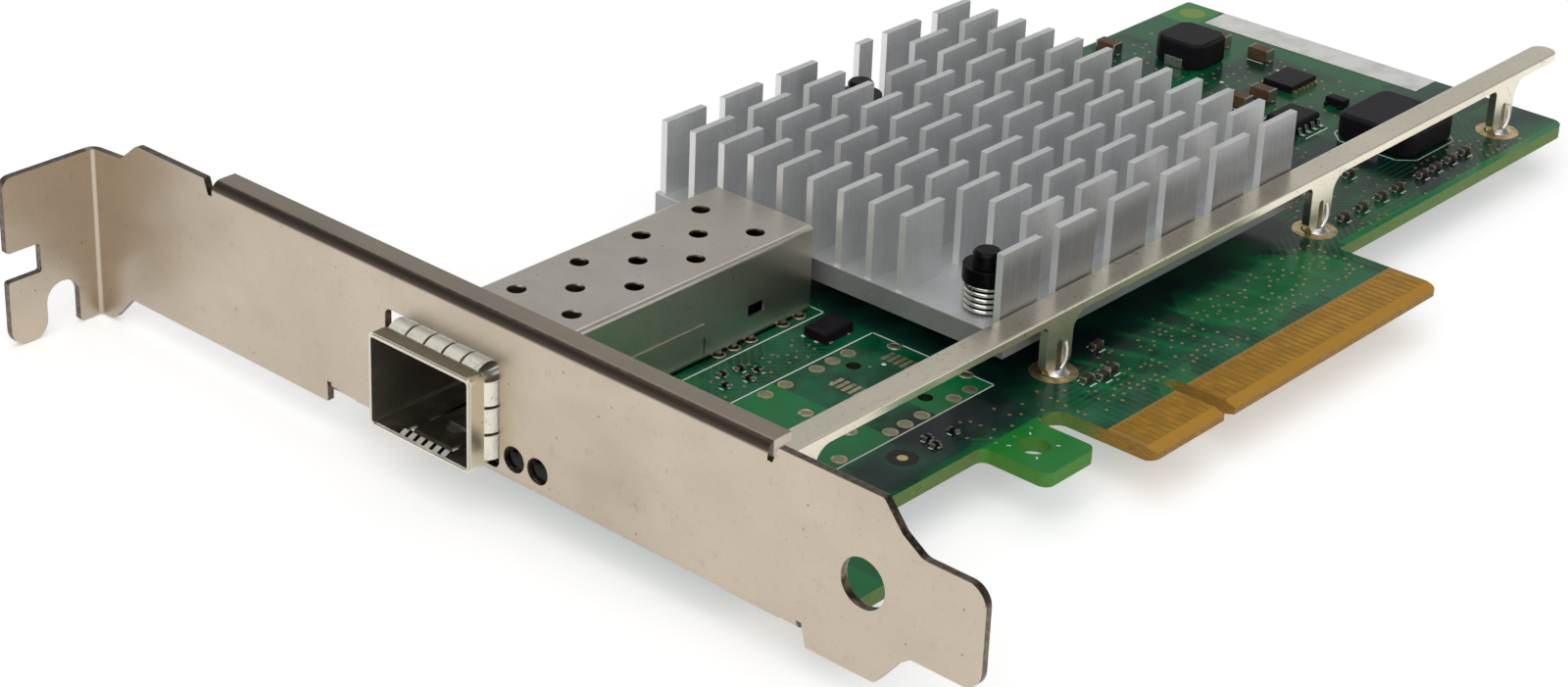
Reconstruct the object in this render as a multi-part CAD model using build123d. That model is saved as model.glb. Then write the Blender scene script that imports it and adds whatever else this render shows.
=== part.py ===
from build123d import *
import math
import os

# Network interface card for an eight-lane expansion slot, in millimetres.
# Origin: centre of the key notch, bottom edge of the gold fingers, component side of the board.
# +X runs along the card away from the bracket, +Y towards the bracket's screw tab, +Z off the components.

os.makedirs("parts", exist_ok=True)

# Circuit board
board_thickness = 1.57
board_near_x = -57.1
board_far_x = 90.15
board_low_y = 12.5
board_high_y = 67.9
board_far_corner_r = 1.75
board_corner_r = 0.5

# Foot of the board beside the bracket
foot_length = 11.0
foot_drop = 9.5
foot_corner_r = 1.2

# Retention hook beside the gold fingers
hook_near_x = -24.05
hook_length = 7.9
hook_low_y = 4.55
hook_corner_r = 1.1
tooling_hole_d = 3.3
tooling_hole_rise = 4.55
slot_corner_r = 1.7

# Edge connector
edge_near_x = -12.6
edge_far_x = 39.6
edge_corner_r = 0.8
bevel_length = 1.25
bevel_depth = 0.42
key_width = 1.9
key_height = 8.0
finger_pitch = 1.0
finger_width = 0.7
finger_top_y = 5.64
finger_thickness = 0.04
fingers_before_key = 11
fingers_after_key = 38
finger_near_inset = 1.1
finger_key_inset = 0.55

# Bracket sheet
sheet = 0.86
bracket_x = -60.3
bracket_top_z = 16.02
bracket_width = 18.42
seat_y = 103.9
tongue_end_y = -15.6
tongue_width = 10.19
tongue_offset = 4.11
tongue_corner_r = 2.0
tongue_shoulder_y = -4.3
neck_run = 2.15
neck_step = 0.9
bend_r = 1.2
bend_inner_r = 0.34
bend_relief_width = 0.6
bend_relief_depth = 0.45
flange_depth = 3.1
flange_low_y = 8.85
flange_high_y = 84.3
fold_rise = 1.1
fold_depth = 2.0
fold_low_y = 4.8
fold_high_y = 66.5

# Screw tab at the top of the bracket
tab_depth = 11.6
tab_top_z = 13.4
tab_low_z = -6.1
tab_corner_r = 1.2
tab_bend_inner_r = 0.5
tab_edge_step = 0.15
shoulder_step = 0.3
shoulder_high_near = 4.6
shoulder_high_far = 7.35
shoulder_low_near = 2.1
shoulder_low_far = 5.4
tab_notch_depth = 4.2
tab_notch_top_z = 4.88
tab_notch_height = 3.33
slot_near = 2.78
slot_width = 4.2
slot_top_z = -0.4

# Openings in the bracket
round_hole_d = 5.0
round_hole_y = -2.45
round_hole_z = 6.83
cutout_gap_low = 0.95
cutout_gap_high = 1.0
cutout_gap_below = 0.35
cutout_gap_above = 1.3
cutout_corner_r = 0.8
led_hole_d = 2.75
led_z = 1.65
led_y = 37.2
led_pitch = 3.16

# Ears that screw the bracket to the board
ear_length = 8.5
ear_width = 7.0
ear_low_y = 12.0
ear_high_y = 61.6
ear_hole_d = 3.0
ear_fold_gap = 0.34
screw_hole_d = 3.3
screw_d = 2.9
screw_head_d = 5.2
screw_head_height = 1.9
screw_tail = 1.2
recess_width = 0.6
recess_depth = 0.9

# Port cage
port_y = 50.3
cage_width = 14.0
cage_height = 9.85
cage_lift = 0.15
cage_mouth_x = -63.35
cage_rear_x = -14.3
cage_sheet = 0.3
cage_corner_r = 0.6
cage_fit = 0.03
vent_d = 2.0
vent_outer_x = [-46.6, -37.8, -28.8, -19.8]
vent_inner_x = [-42.25, -33.3, -24.3]
vent_row_offset = 3.85
slit_x = -30.8
slit_width = 0.3
slit_height = 2.4
latch_x = -22.9
latch_width = 2.4
latch_height = 1.3
latch_z = 2.8
bead_z = 4.2
bead_height = 0.55
bead_depth = 0.16
tongue_plate_length = 9.0
tongue_plate_width = 5.4
tongue_plate_slit = 0.45
port_pin_width = 0.6
port_pin_hole_d = 1.05
port_pin_tail = 0.85
pins_high_x = [-31.3, -28.3, -23.5, -21.0, -18.6]
pins_low_x = [-36.0, -28.3, -26.0, -23.4, -18.4, -15.8]

# Spring collar round the cage mouth
collar_sheet = 0.15
collar_band_length = 1.75
collar_finger_length = 2.75
collar_finger_bow = 0.62
collar_slit = 0.35
collar_top_fingers = 5
collar_side_fingers = 3

# Host connector and the bare land pattern of a second port
connector_near_x = -23.2
connector_far_x = -17.0
connector_width = 11.4
connector_height = 5.9
connector_slot_width = 9.9
connector_slot_height = 1.7
connector_slot_z = 2.9
peg_x = -20.25
peg_offset = 4.72
peg_hole_d = 1.6
contact_pitch = 0.8
contact_count = 10
contact_width = 0.4
pad_row_near_x = -24.2
pad_row_far_x = -16.1
pad_length = 2.0
pad_width = 0.5
port_pitch = 22.85
copper_thickness = 0.05
ring_width = 0.3
hole_sides = 20
small_hole_sides = 12

# Stiffener bar and its four legs
bar_sheet = 0.96
bar_top_z = 7.0
bar_width = 3.35
bar_near_x = -52.0
bar_far_x = 94.5
leg_x = [-46.6, -6.57, 41.8, 81.77]
leg_y = 17.08
leg_width = 4.3
leg_flare_r = 2.2
leg_root_r = 0.8
leg_shoulder_z = 0.35
leg_shoulder_rise = 0.9
leg_slot_width = 0.9
leg_slot_top_z = 3.8
prong_span = 2.8
prong_tail = 0.95
stiffener_hole_d = 3.1
stiffener_pad_d = 5.1

# Heat sink
sink_near_x = -12.6
sink_low_y = 19.25
sink_length = 53.05
sink_width = 48.15
sink_base_z = 2.8
sink_base = 2.5
fin_height = 8.65
fin_length = 6.25
fin_thickness = 0.85
fin_columns = 6
fin_rows = 12
fin_inset_x = 0.3
fin_inset_far_x = 0.1
fin_inset_y = 0.9
fin_inset_high_y = 0.42
missing_fins = [(0, 1), (0, 2), (3, 10), (3, 11)]
half_fin_start = 4.35
half_fin_length = 2.4

# Push pins that hold the heat sink
pin_1_from_fin = 3.5
pin_2_from_fin = 0.26
pin_shaft_d = 2.7
pin_hole_d = 3.1
pin_head_d = 5.0
pin_head_z = 8.6
pin_head_height = 1.7
pin_cap_d = 3.0
pin_cap_height = 1.6
pin_barb_d = 3.7
pin_barb_gap = 0.06
pin_barb_height = 2.2
spring_outer_d = 4.7
spring_wire_d = 0.45
spring_turns = 4.5
spring_steps = 14

# Controller package under the heat sink
chip_size = 25.0
chip_gap = 0.3
chip_height = 2.2
chip_centre = (12.6, 42.2)
thermal_pad_size = 22.0

# Parts soldered beside the heat sink: centres, plan sizes and heights
solder_gap = 0.04
oscillator_centre = (-16.7, 38.6)
oscillator_size = (4.4, 3.0, 1.3)
square_inductor_centre = (73.6, 56.2)
square_inductor_size = 7.0
square_inductor_height = 3.2
square_inductor_cut = 1.1
wide_inductor_corner_r = 1.5
wide_inductor_centre = (71.15, 24.9)
wide_inductor_size = (10.7, 10.3)
wide_inductor_height = 3.0
terminal_width = 2.6
terminal_sheet = 0.25
soic_centre = (65.2, 35.4)
soic_size = (5.2, 4.2)
soic_height = 1.5
soic_pitch = 1.35
soic_lead_reach = 1.0
soic_lead_width = 0.5
soic_lead_sheet = 0.2
soic_lead_z = 0.75
regulator_centre = (76.0, 42.9)
regulator_size = (5.4, 4.2)
regulator_height = 0.9
regulator_pads = 6
transistor_centre = (74.5, 35.0)
transistor_size = (1.4, 2.6)
transistor_height = 0.95
large_caps = [(65.5, 43.3), (69.5, 42.5), (68.0, 64.7), (80.3, 50.0), (80.3, 56.5)]
large_cap_size = (1.7, 2.9)
large_cap_height = 1.5
small_caps_x = [46.5, 50.3, 54.4, 58.0, 63.3, 66.2, 69.5, 72.8]
small_caps_y = 16.3
loose_caps = [(0.7, 17.1), (-2.4, 12.9), (-6.0, 13.3), (-4.2, 12.6), (49.5, 22.4), (49.5, 26.2), (57.2, 22.4)]
small_cap_size = (1.6, 0.8)
small_cap_height = 0.75
resistors_along_x = [(-26.8, 17.2), (-27.3, 15.8), (-31.4, 40.1), (-29.2, 39.7), (55.4, 33.2), (55.4, 35.0)]
resistors_along_y = [(-23.8, 16.3), (-32.9, 38.2), (-30.0, 37.6), (-28.0, 38.2), (60.2, 44.6), (61.8, 44.6)]
resistor_size = (1.05, 0.55)
resistor_height = 0.4
end_cap_length = 0.25
rear_cap_columns = 4
rear_cap_rows = 3
rear_cap_pitch = 3.6
label_edge_inset = 0.25
label_low_y = 30.5
label_size = (4.6, 31.5)
label_thickness = 0.1

# Light pipes of the two status lamps
lamp_width = 2.9
lamp_height = 3.1
lamp_length = 3.6
lamp_lens_d = 2.0
lamp_edge_inset = 0.3

# Places that follow from the sizes above
board_solder_z = -board_thickness
bracket_inner_x = bracket_x + sheet
bracket_low_z = bracket_top_z - bracket_width
tongue_high_z = bracket_top_z - tongue_offset
tongue_low_z = tongue_high_z - tongue_width
fold_z = bracket_low_z + fold_rise
tab_end_x = bracket_x - tab_depth
slot_far_x = bracket_x - slot_near
slot_near_x = slot_far_x - slot_width
foot_low_y = board_low_y - foot_drop
hook_far_x = hook_near_x + hook_length
tooling_x = hook_near_x + hook_length / 2 - 0.25
tooling_y = hook_low_y + tooling_hole_rise
cage_low_y = port_y - cage_width / 2
cage_high_y = port_y + cage_width / 2
cage_top_z = cage_lift + cage_height
ear_screw_x = board_near_x + ear_length / 2
ear_places = [ear_low_y, ear_high_y]
bar_low_y = leg_y - bar_sheet / 2
bar_high_y = bar_low_y + bar_width
sink_top_z = sink_base_z + sink_base
fin_column_pitch = (sink_length - fin_inset_x - fin_inset_far_x - fin_length) / (fin_columns - 1)
fin_row_pitch = (sink_width - fin_inset_y - fin_inset_high_y - fin_thickness) / (fin_rows - 1)
first_fin_x = sink_near_x + fin_inset_x
first_fin_y = sink_low_y + fin_inset_y
pin_1_fin, pin_2_fin = missing_fins[0], missing_fins[2]
push_pin_places = [
    (first_fin_x + pin_1_fin[0] * fin_column_pitch + pin_1_from_fin,
     first_fin_y + pin_1_fin[1] * fin_row_pitch + fin_thickness / 2),
    (first_fin_x + pin_2_fin[0] * fin_column_pitch + pin_2_from_fin,
     first_fin_y + pin_2_fin[1] * fin_row_pitch + fin_thickness / 2),
]
label_near_x = board_far_x - label_edge_inset - label_size[0]
spare_port_y = port_y - port_pitch


def block(x0, x1, y0, y1, z0, z1):
    """Box between two corners."""
    return Pos((x0 + x1) / 2, (y0 + y1) / 2, (z0 + z1) / 2) * Box(x1 - x0, y1 - y0, z1 - z0)


def post(x, y, diameter, z0, z1):
    """Upright cylinder."""
    return Pos(x, y, (z0 + z1) / 2) * Cylinder(diameter / 2, z1 - z0)


def drilled(x, y, diameter, z0, z1, sides):
    """Upright many-sided post round a circle of that diameter, for small holes and rings."""
    return Pos(x, y, z0) * extrude(RegularPolygon(diameter / 2, sides, major_radius=False), z1 - z0)


def outline(points):
    """Closed face through (a, b, corner radius) points."""
    path = FilletPolyline(*[(a, b) for a, b, r in points], radius=[r for a, b, r in points], close=True)
    return make_face(path)


def along_x(face, x0, x1):
    """Face drawn in Y and Z, extruded from x0 to x1."""
    return extrude(Plane.YZ.offset(x0) * face, x1 - x0)


def along_y(face, y0, y1):
    """Face drawn in X and Z, extruded from y0 to y1."""
    return extrude(Plane.XZ.offset(-y1) * face, y1 - y0)


def along_z(face, z0, z1):
    """Face drawn in X and Y, extruded from z0 to z1."""
    return extrude(Plane.XY.offset(z0) * face, z1 - z0)


def chip_block(centre, size, height, z0, chamfer_length, plan=None):
    """Moulded block with a chamfered top edge, on a rectangular plan or the one given."""
    if plan is None:
        plan = Rectangle(size[0], size[1])
    body = along_z(Pos(centre[0], centre[1]) * plan, z0, z0 + height)
    top_edges = body.faces().sort_by(Axis.Z)[-1].edges()
    return chamfer(top_edges, chamfer_length)


def port_pin_places(centre_y):
    """Holes for the press-fit pins of one port."""
    high = [(x, centre_y + cage_width / 2 - cage_sheet / 2) for x in pins_high_x]
    low = [(x, centre_y - cage_width / 2 + cage_sheet / 2) for x in pins_low_x]
    return high + low


def peg_places(centre_y):
    """Holes for the locating pegs of one host connector."""
    return [(peg_x, centre_y - peg_offset), (peg_x, centre_y + peg_offset)]


def contact_rows(centre_y):
    """Centres of the two rows of soldered contacts of one host connector."""
    first = centre_y - contact_pitch * (contact_count - 1) / 2
    return [(x, first + i * contact_pitch) for x in (pad_row_near_x, pad_row_far_x) for i in range(contact_count)]


def finger_places():
    """Contact centres along the edge connector, on both sides of the key."""
    before = [edge_near_x + finger_near_inset + i * finger_pitch for i in range(fingers_before_key)]
    first_after = key_width / 2 + finger_key_inset
    after = [first_after + i * finger_pitch for i in range(fingers_after_key)]
    return before + after


def make_circuit_board():
    """Board outline with the hook, the fingers, the key notch and every drilled hole."""
    slot_y = board_low_y - 0.3
    points = [
        (board_near_x, board_high_y, board_corner_r),
        (board_near_x, foot_low_y, foot_corner_r),
        (board_near_x + foot_length, foot_low_y, foot_corner_r),
        (board_near_x + foot_length, board_low_y, foot_corner_r),
        (hook_near_x, board_low_y, hook_corner_r),
        (hook_near_x, hook_low_y, hook_corner_r),
        (hook_far_x, hook_low_y, hook_corner_r),
        (hook_far_x, slot_y, slot_corner_r),
        (edge_near_x, slot_y, slot_corner_r),
        (edge_near_x, 0, edge_corner_r),
        (-key_width / 2, 0, 0),
        (-key_width / 2, key_height, key_width * 0.49),
        (key_width / 2, key_height, key_width * 0.49),
        (key_width / 2, 0, 0),
        (edge_far_x, 0, edge_corner_r),
        (edge_far_x, board_low_y, 0.4),
        (board_far_x, board_low_y, board_far_corner_r),
        (board_far_x, board_high_y, board_corner_r),
    ]
    board = along_z(outline(points), board_solder_z, 0)
    top_bevel = outline([(-1, 1, 0), (-1, -bevel_depth, 0), (0, -bevel_depth, 0), (bevel_length, 0, 0), (bevel_length, 1, 0)])
    bottom_bevel = mirror(top_bevel, Plane.XZ)
    board -= along_x(top_bevel, edge_near_x - 1, edge_far_x + 1)
    board -= along_x(Pos(0, board_solder_z) * bottom_bevel, edge_near_x - 1, edge_far_x + 1)
    board -= post(tooling_x, tooling_y, tooling_hole_d, board_solder_z - 1, 1)
    holes = [(x, leg_y, stiffener_hole_d) for x in leg_x]
    holes += [(x, y, pin_hole_d) for x, y in push_pin_places]
    holes += [(ear_screw_x, y, screw_hole_d) for y in ear_places]
    small_holes = []
    for centre_y in (port_y, spare_port_y):
        small_holes += [(x, y, port_pin_hole_d) for x, y in port_pin_places(centre_y)]
        holes += [(x, y, peg_hole_d) for x, y in peg_places(centre_y)]
    for x, y, diameter in holes:
        board -= drilled(x, y, diameter, board_solder_z - 1, 1, hole_sides)
    for x, y, diameter in small_holes:
        board -= drilled(x, y, diameter, board_solder_z - 1, 1, small_hole_sides)
    return board


def make_edge_contacts(z0):
    """One row of gold contacts lying on a face of the board."""
    row = [block(x - finger_width / 2, x + finger_width / 2, bevel_length, finger_top_y, z0, z0 + finger_thickness)
           for x in finger_places()]
    return Compound(children=row)


def make_bracket():
    """Folded steel bracket: face plate, screw tab, stiffening flange, lower fold and two ears."""
    bend_z = bracket_top_z - bend_r
    fold_bend_z = fold_z + bend_r
    tab_bend_y = seat_y - tab_bend_inner_r
    relief_z = bend_z - bend_relief_depth
    points = [
        (tab_bend_y, tab_top_z, 0),
        (seat_y - shoulder_high_near, tab_top_z + shoulder_step, 0.8),
        (seat_y - shoulder_high_far, bracket_top_z, 1.0),
        (flange_high_y + bend_relief_width * 2, bracket_top_z, 0),
        (flange_high_y + bend_relief_width, relief_z, 0),
        (flange_high_y, relief_z, 0),
        (flange_high_y, bend_z, 0),
        (flange_low_y, bend_z, 0),
        (flange_low_y, relief_z, 0),
        (flange_low_y - bend_relief_width, relief_z, 0),
        (flange_low_y - bend_relief_width * 2, bracket_top_z, 0),
        (tongue_shoulder_y, bracket_top_z, 0.6),
        (tongue_shoulder_y - neck_run, bracket_top_z - tongue_offset * 0.63, 1.0),
        (tongue_shoulder_y - neck_run * 2.1, tongue_high_z, 1.5),
        (tongue_end_y, tongue_high_z, tongue_corner_r),
        (tongue_end_y, tongue_low_z, tongue_corner_r),
        (tongue_shoulder_y - neck_run * 1.76, tongue_low_z, 1.0),
        (tongue_shoulder_y - neck_run * 1.2, tongue_low_z - neck_step, 0.8),
        (tongue_shoulder_y, bracket_low_z, 1.0),
        (fold_low_y - bend_relief_width * 2, bracket_low_z, 0),
        (fold_low_y - bend_relief_width, fold_bend_z, 0),
        (fold_high_y + bend_relief_width, fold_bend_z, 0),
        (fold_high_y + bend_relief_width, bracket_low_z, 0),
        (seat_y - shoulder_low_far, bracket_low_z, 1.2),
        (seat_y - shoulder_low_near, tab_low_z + shoulder_step, 1.2),
        (tab_bend_y, tab_low_z + tab_edge_step, 0),
    ]
    plate = along_x(outline(points), bracket_x, bracket_inner_x)
    plate += bent_strip(bend_z, 1, flange_depth, flange_low_y, flange_high_y)
    plate += bent_strip(fold_bend_z, -1, fold_depth, fold_low_y, fold_high_y)
    for y in ear_places:
        plate += make_ear(y)
    cutout_low = cage_low_y - cutout_gap_low
    cutout_high = cage_high_y + cutout_gap_high
    cutout_bottom = cage_lift - cutout_gap_below
    cutout_top = cage_top_z + cutout_gap_above
    cutout = outline([
        (cutout_low, cutout_bottom, cutout_corner_r),
        (cutout_high, cutout_bottom, cutout_corner_r),
        (cutout_high, cutout_top, cutout_corner_r),
        (cutout_low, cutout_top, cutout_corner_r),
    ])
    plate -= along_x(cutout, bracket_x - 1, bracket_inner_x + 0.5)
    plate -= along_x(Pos(round_hole_y, round_hole_z) * Circle(round_hole_d / 2), bracket_x - 1, bracket_inner_x + 1)
    for i in range(2):
        lamp_hole = Pos(led_y + i * led_pitch, led_z) * Circle(led_hole_d / 2)
        plate -= along_x(lamp_hole, bracket_x - 1, bracket_inner_x + 1)
    return plate + make_tab()


def bent_strip(bend_z, side, depth, y0, y1):
    """Strip folded from the face plate towards the board: side 1 at the top edge, side -1 at the low edge."""
    centre_x = bracket_x + bend_r
    edge_z = bend_z + side * bend_r
    diagonal = math.sqrt(0.5)
    lines = [
        Line((bracket_x, bend_z), (bracket_inner_x, bend_z)),
        ThreePointArc(
            (bracket_inner_x, bend_z),
            (centre_x - bend_inner_r * diagonal, bend_z + side * bend_inner_r * diagonal),
            (centre_x, bend_z + side * bend_inner_r),
        ),
        Line((centre_x, bend_z + side * bend_inner_r), (bracket_x + depth, edge_z - side * sheet)),
        Line((bracket_x + depth, edge_z - side * sheet), (bracket_x + depth, edge_z)),
        Line((bracket_x + depth, edge_z), (centre_x, edge_z)),
        ThreePointArc(
            (centre_x, edge_z),
            (centre_x - bend_r * diagonal, bend_z + side * bend_r * diagonal),
            (bracket_x, bend_z),
        ),
    ]
    return along_y(make_face(lines), y0, y1)


def make_ear(y):
    """Ear stepped down from the lower fold to the solder side of the board."""
    step_x = board_near_x - ear_fold_gap - sheet
    ear_top = board_solder_z
    half = ear_width / 2
    ear = block(bracket_x + fold_depth - 0.4, step_x + sheet, y - half, y + half, fold_z, fold_z + sheet)
    riser_low_z = min(ear_top - sheet, fold_z)
    riser_high_z = max(ear_top, fold_z + sheet)
    ear += block(step_x, step_x + sheet, y - half, y + half, riser_low_z, riser_high_z)
    flat = outline([
        (step_x, y - half, 0),
        (ear_screw_x + half, y - half, 2.5),
        (ear_screw_x + half, y + half, 2.5),
        (step_x, y + half, 0),
    ])
    ear += along_z(flat, ear_top - sheet, ear_top)
    return ear - post(ear_screw_x, y, ear_hole_d, ear_top - 2, ear_top + 0.5)


def make_tab():
    """Screw tab folded outwards, with its open slot and its square notch."""
    bend_x = bracket_x - tab_bend_inner_r
    bend_y = seat_y - tab_bend_inner_r
    notch_x = tab_end_x + tab_notch_depth
    notch_low_z = tab_notch_top_z - tab_notch_height
    slot_r = slot_width / 2 - 0.05
    points = [
        (bend_x, tab_top_z, 0),
        (tab_end_x, tab_top_z, tab_corner_r),
        (tab_end_x, tab_notch_top_z, 0.3),
        (notch_x, tab_notch_top_z, 0.3),
        (notch_x, notch_low_z, 0.3),
        (tab_end_x, notch_low_z, 0.3),
        (tab_end_x, tab_low_z, 2.0),
        (slot_near_x, tab_low_z, 2.0),
        (slot_near_x, slot_top_z, slot_r),
        (slot_far_x, slot_top_z, slot_r),
        (slot_far_x, tab_low_z + tab_edge_step, 0.4),
        (bend_x, tab_low_z + tab_edge_step, 0),
    ]
    tab = along_y(outline(points), seat_y, seat_y + sheet)
    ring = Circle(tab_bend_inner_r + sheet) - Circle(tab_bend_inner_r)
    quarter = ring & (Pos(2, 2) * Rectangle(4, 4))
    tab += along_z(Pos(bend_x, bend_y) * quarter, tab_low_z + tab_edge_step, tab_top_z)
    return tab


def make_bracket_screws():
    """Pan-head screws through the board into the ears."""
    screws = []
    for y in ear_places:
        head = post(ear_screw_x, y, screw_head_d, 0, screw_head_height)
        head = chamfer(head.edges().sort_by(Axis.Z)[-1], screw_head_height * 0.4)
        arm = screw_head_d / 4
        wing = recess_width / 2
        recess = block(-arm, arm, -wing, wing, 0, screw_head_height)
        recess += block(-wing, wing, -arm, arm, 0, screw_head_height)
        head -= Pos(ear_screw_x, y, screw_head_height - recess_depth) * recess
        tail_z = board_solder_z - sheet - screw_tail
        shank = drilled(ear_screw_x, y, screw_d - 0.1, tail_z, 0, hole_sides)
        screws.append(head + shank)
    return Compound(children=screws)


def make_stiffener_bar():
    """Flat bar on four forked legs that snap into the board."""
    half = leg_width / 2
    bar_low_z = bar_top_z - bar_sheet
    end_r = bar_width / 2 - 0.05
    strip = outline([
        (bar_near_x, bar_low_y, 0.8),
        (bar_far_x, bar_low_y, end_r),
        (bar_far_x, bar_high_y, end_r),
        (bar_near_x, bar_high_y, 0.8),
    ])
    bar = along_z(strip, bar_low_z, bar_top_z)
    bar = fillet(bar.edges().filter_by(Axis.X).group_by(Axis.Z)[-1], 0.2)
    low_z = leg_shoulder_z
    prong = prong_span / 2
    tip_z = board_solder_z - prong_tail
    leg_face = outline([
        (-half - leg_root_r, bar_low_z + 0.1, 0),
        (-half - leg_root_r, bar_low_z, 0),
        (-half, bar_low_z, leg_root_r * 0.98),
        (-half, low_z + leg_shoulder_rise, 0),
        (-prong, low_z, 0),
        (-prong, tip_z + 0.5, 0),
        (-prong * 0.75, tip_z, 0),
        (prong * 0.75, tip_z, 0),
        (prong, tip_z + 0.5, 0),
        (prong, low_z, 0),
        (half, low_z + leg_shoulder_rise, 0),
        (half, bar_low_z, leg_flare_r * 0.98),
        (half + leg_flare_r, bar_low_z, 0),
        (half + leg_flare_r, bar_low_z + 0.1, 0),
    ])
    slot_half = leg_slot_width / 2
    slot_face = outline([
        (-slot_half, tip_z - 1, 0),
        (-slot_half, leg_slot_top_z, slot_half * 0.98),
        (slot_half, leg_slot_top_z, slot_half * 0.98),
        (slot_half, tip_z - 1, 0),
    ])
    leg = along_y(leg_face - slot_face, bar_low_y, bar_low_y + bar_sheet)
    for x in leg_x:
        bar += Pos(x, 0, 0) * leg
    return bar


def ring_pad(x, y, outer_d, inner_d, z0, sides):
    """Flat ring of tinned copper on a face of the board."""
    ring = drilled(x, y, outer_d, z0, z0 + copper_thickness, sides)
    return ring - drilled(x, y, inner_d, z0 - 1, z0 + 1, sides)


def make_stiffener_pads():
    """Copper rings round the stiffener holes, on both faces of the board."""
    rings = []
    for z0 in (0, board_solder_z - copper_thickness):
        rings += [ring_pad(x, leg_y, stiffener_pad_d, stiffener_hole_d, z0, hole_sides) for x in leg_x]
    return Compound(children=rings)


def cage_section(inset, corner_r):
    """Rounded cage profile, inset from the outside of the cage."""
    width = cage_width - 2 * inset
    height = cage_height - 2 * inset
    centre_z = cage_lift + cage_height / 2
    return Pos(port_y, centre_z) * RectangleRounded(width, height, corner_r)


def make_port_cage():
    """Upper shell of the port cage, with vents, side slits, latch windows and press-fit pins."""
    shell = along_x(cage_section(0, cage_corner_r), cage_mouth_x, cage_rear_x)
    shell -= along_x(cage_section(cage_sheet, cage_corner_r - cage_sheet), cage_mouth_x - 1, cage_rear_x - cage_sheet)
    floor_edge = cage_corner_r
    shell -= block(cage_mouth_x - 1, cage_rear_x - cage_sheet, cage_low_y + floor_edge, cage_high_y - floor_edge,
                   cage_lift - 1, cage_lift + 1)
    vents = [(x, port_y + side * vent_row_offset) for x in vent_outer_x for side in (-1, 1)]
    vents += [(x, port_y) for x in vent_inner_x]
    for x, y in vents:
        shell -= drilled(x, y, vent_d, cage_top_z - 1, cage_top_z + 1, hole_sides)
    shell -= block(slit_x, slit_x + slit_width, cage_low_y - 1, cage_high_y + 1, cage_lift + 0.7,
                   cage_lift + 0.3 + slit_height)
    shell -= block(latch_x - latch_width / 2, latch_x + latch_width / 2, cage_low_y - 1, cage_high_y + 1,
                   latch_z, latch_z + latch_height)
    bead_start = bracket_inner_x + 1.0
    for wall_y, side in ((cage_low_y, -1), (cage_high_y, 1)):
        bead_y0, bead_y1 = sorted((wall_y, wall_y + side * bead_depth))
        shell += block(bead_start, slit_x, bead_y0, bead_y1, bead_z - bead_height / 2, bead_z + bead_height / 2)
    half = port_pin_width / 2
    tail_z = board_solder_z - port_pin_tail
    for x, y in port_pin_places(port_y):
        shell += block(x - half, x + half, y - cage_sheet / 2, y + cage_sheet / 2, tail_z, cage_lift + cage_corner_r)
    return shell


def make_cage_floor():
    """Bottom plate of the cage with its spring latch tongue at the mouth."""
    low = cage_low_y + cage_corner_r + cage_fit
    high = cage_high_y - cage_corner_r - cage_fit
    floor = block(cage_mouth_x + 0.2, connector_near_x - 3, low, high, cage_lift, cage_lift + cage_sheet)
    half = tongue_plate_width / 2
    slit = tongue_plate_slit
    start = cage_mouth_x + 1.4
    for side in (-1, 1):
        centre = port_y + side * (half + slit / 2)
        floor -= block(start, start + tongue_plate_length, centre - slit / 2, centre + slit / 2, 0, 1)
    floor -= block(start, start + slit, port_y - half - slit, port_y + half + slit, 0, 1)
    latch = Pos(start + 3.2, port_y) * RegularPolygon(1.7, 3, rotation=180)
    return floor - along_z(latch, 0, 1)


def collar_finger(length, bow, width):
    """Bowed spring finger, rising in local Z along local X."""
    thick = collar_sheet
    outer = ThreePointArc((0, thick), (length * 0.5, bow + thick), (length, thick * 0.9))
    inner = ThreePointArc((length, 0), (length * 0.5, bow), (0, 0))
    face = make_face([outer, Line((length, thick * 0.9), (length, 0)), inner, Line((0, 0), (0, thick))])
    return along_y(face, -width / 2, width / 2)


def make_cage_collar():
    """Spring collar round the cage: a plain band, then fingers that press on the bracket's cut-out."""
    outer = cage_section(-collar_sheet, cage_corner_r + collar_sheet)
    inner = cage_section(0, cage_corner_r)
    collar = along_x(outer - inner, cage_mouth_x + 0.15, cage_mouth_x + 0.15 + collar_band_length)
    start_x = cage_mouth_x + 0.1 + collar_band_length
    centre_z = cage_lift + cage_height / 2
    flat_width = cage_width - 2 * cage_corner_r
    flat_height = cage_height - 2 * cage_corner_r
    top_step = flat_width / collar_top_fingers
    side_step = flat_height / collar_side_fingers
    top_finger = collar_finger(collar_finger_length, collar_finger_bow, top_step - collar_slit)
    side_finger = collar_finger(collar_finger_length, collar_finger_bow, side_step - collar_slit)
    for i in range(collar_top_fingers):
        y = port_y + (i - (collar_top_fingers - 1) / 2) * top_step
        collar += Pos(start_x, y, cage_top_z) * top_finger
    for i in range(collar_side_fingers):
        z = centre_z + (i - (collar_side_fingers - 1) / 2) * side_step
        collar += Pos(start_x, cage_low_y, z) * Rot(90, 0, 0) * side_finger
        collar += Pos(start_x, cage_high_y, z) * Rot(-90, 0, 0) * side_finger
    return collar


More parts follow.
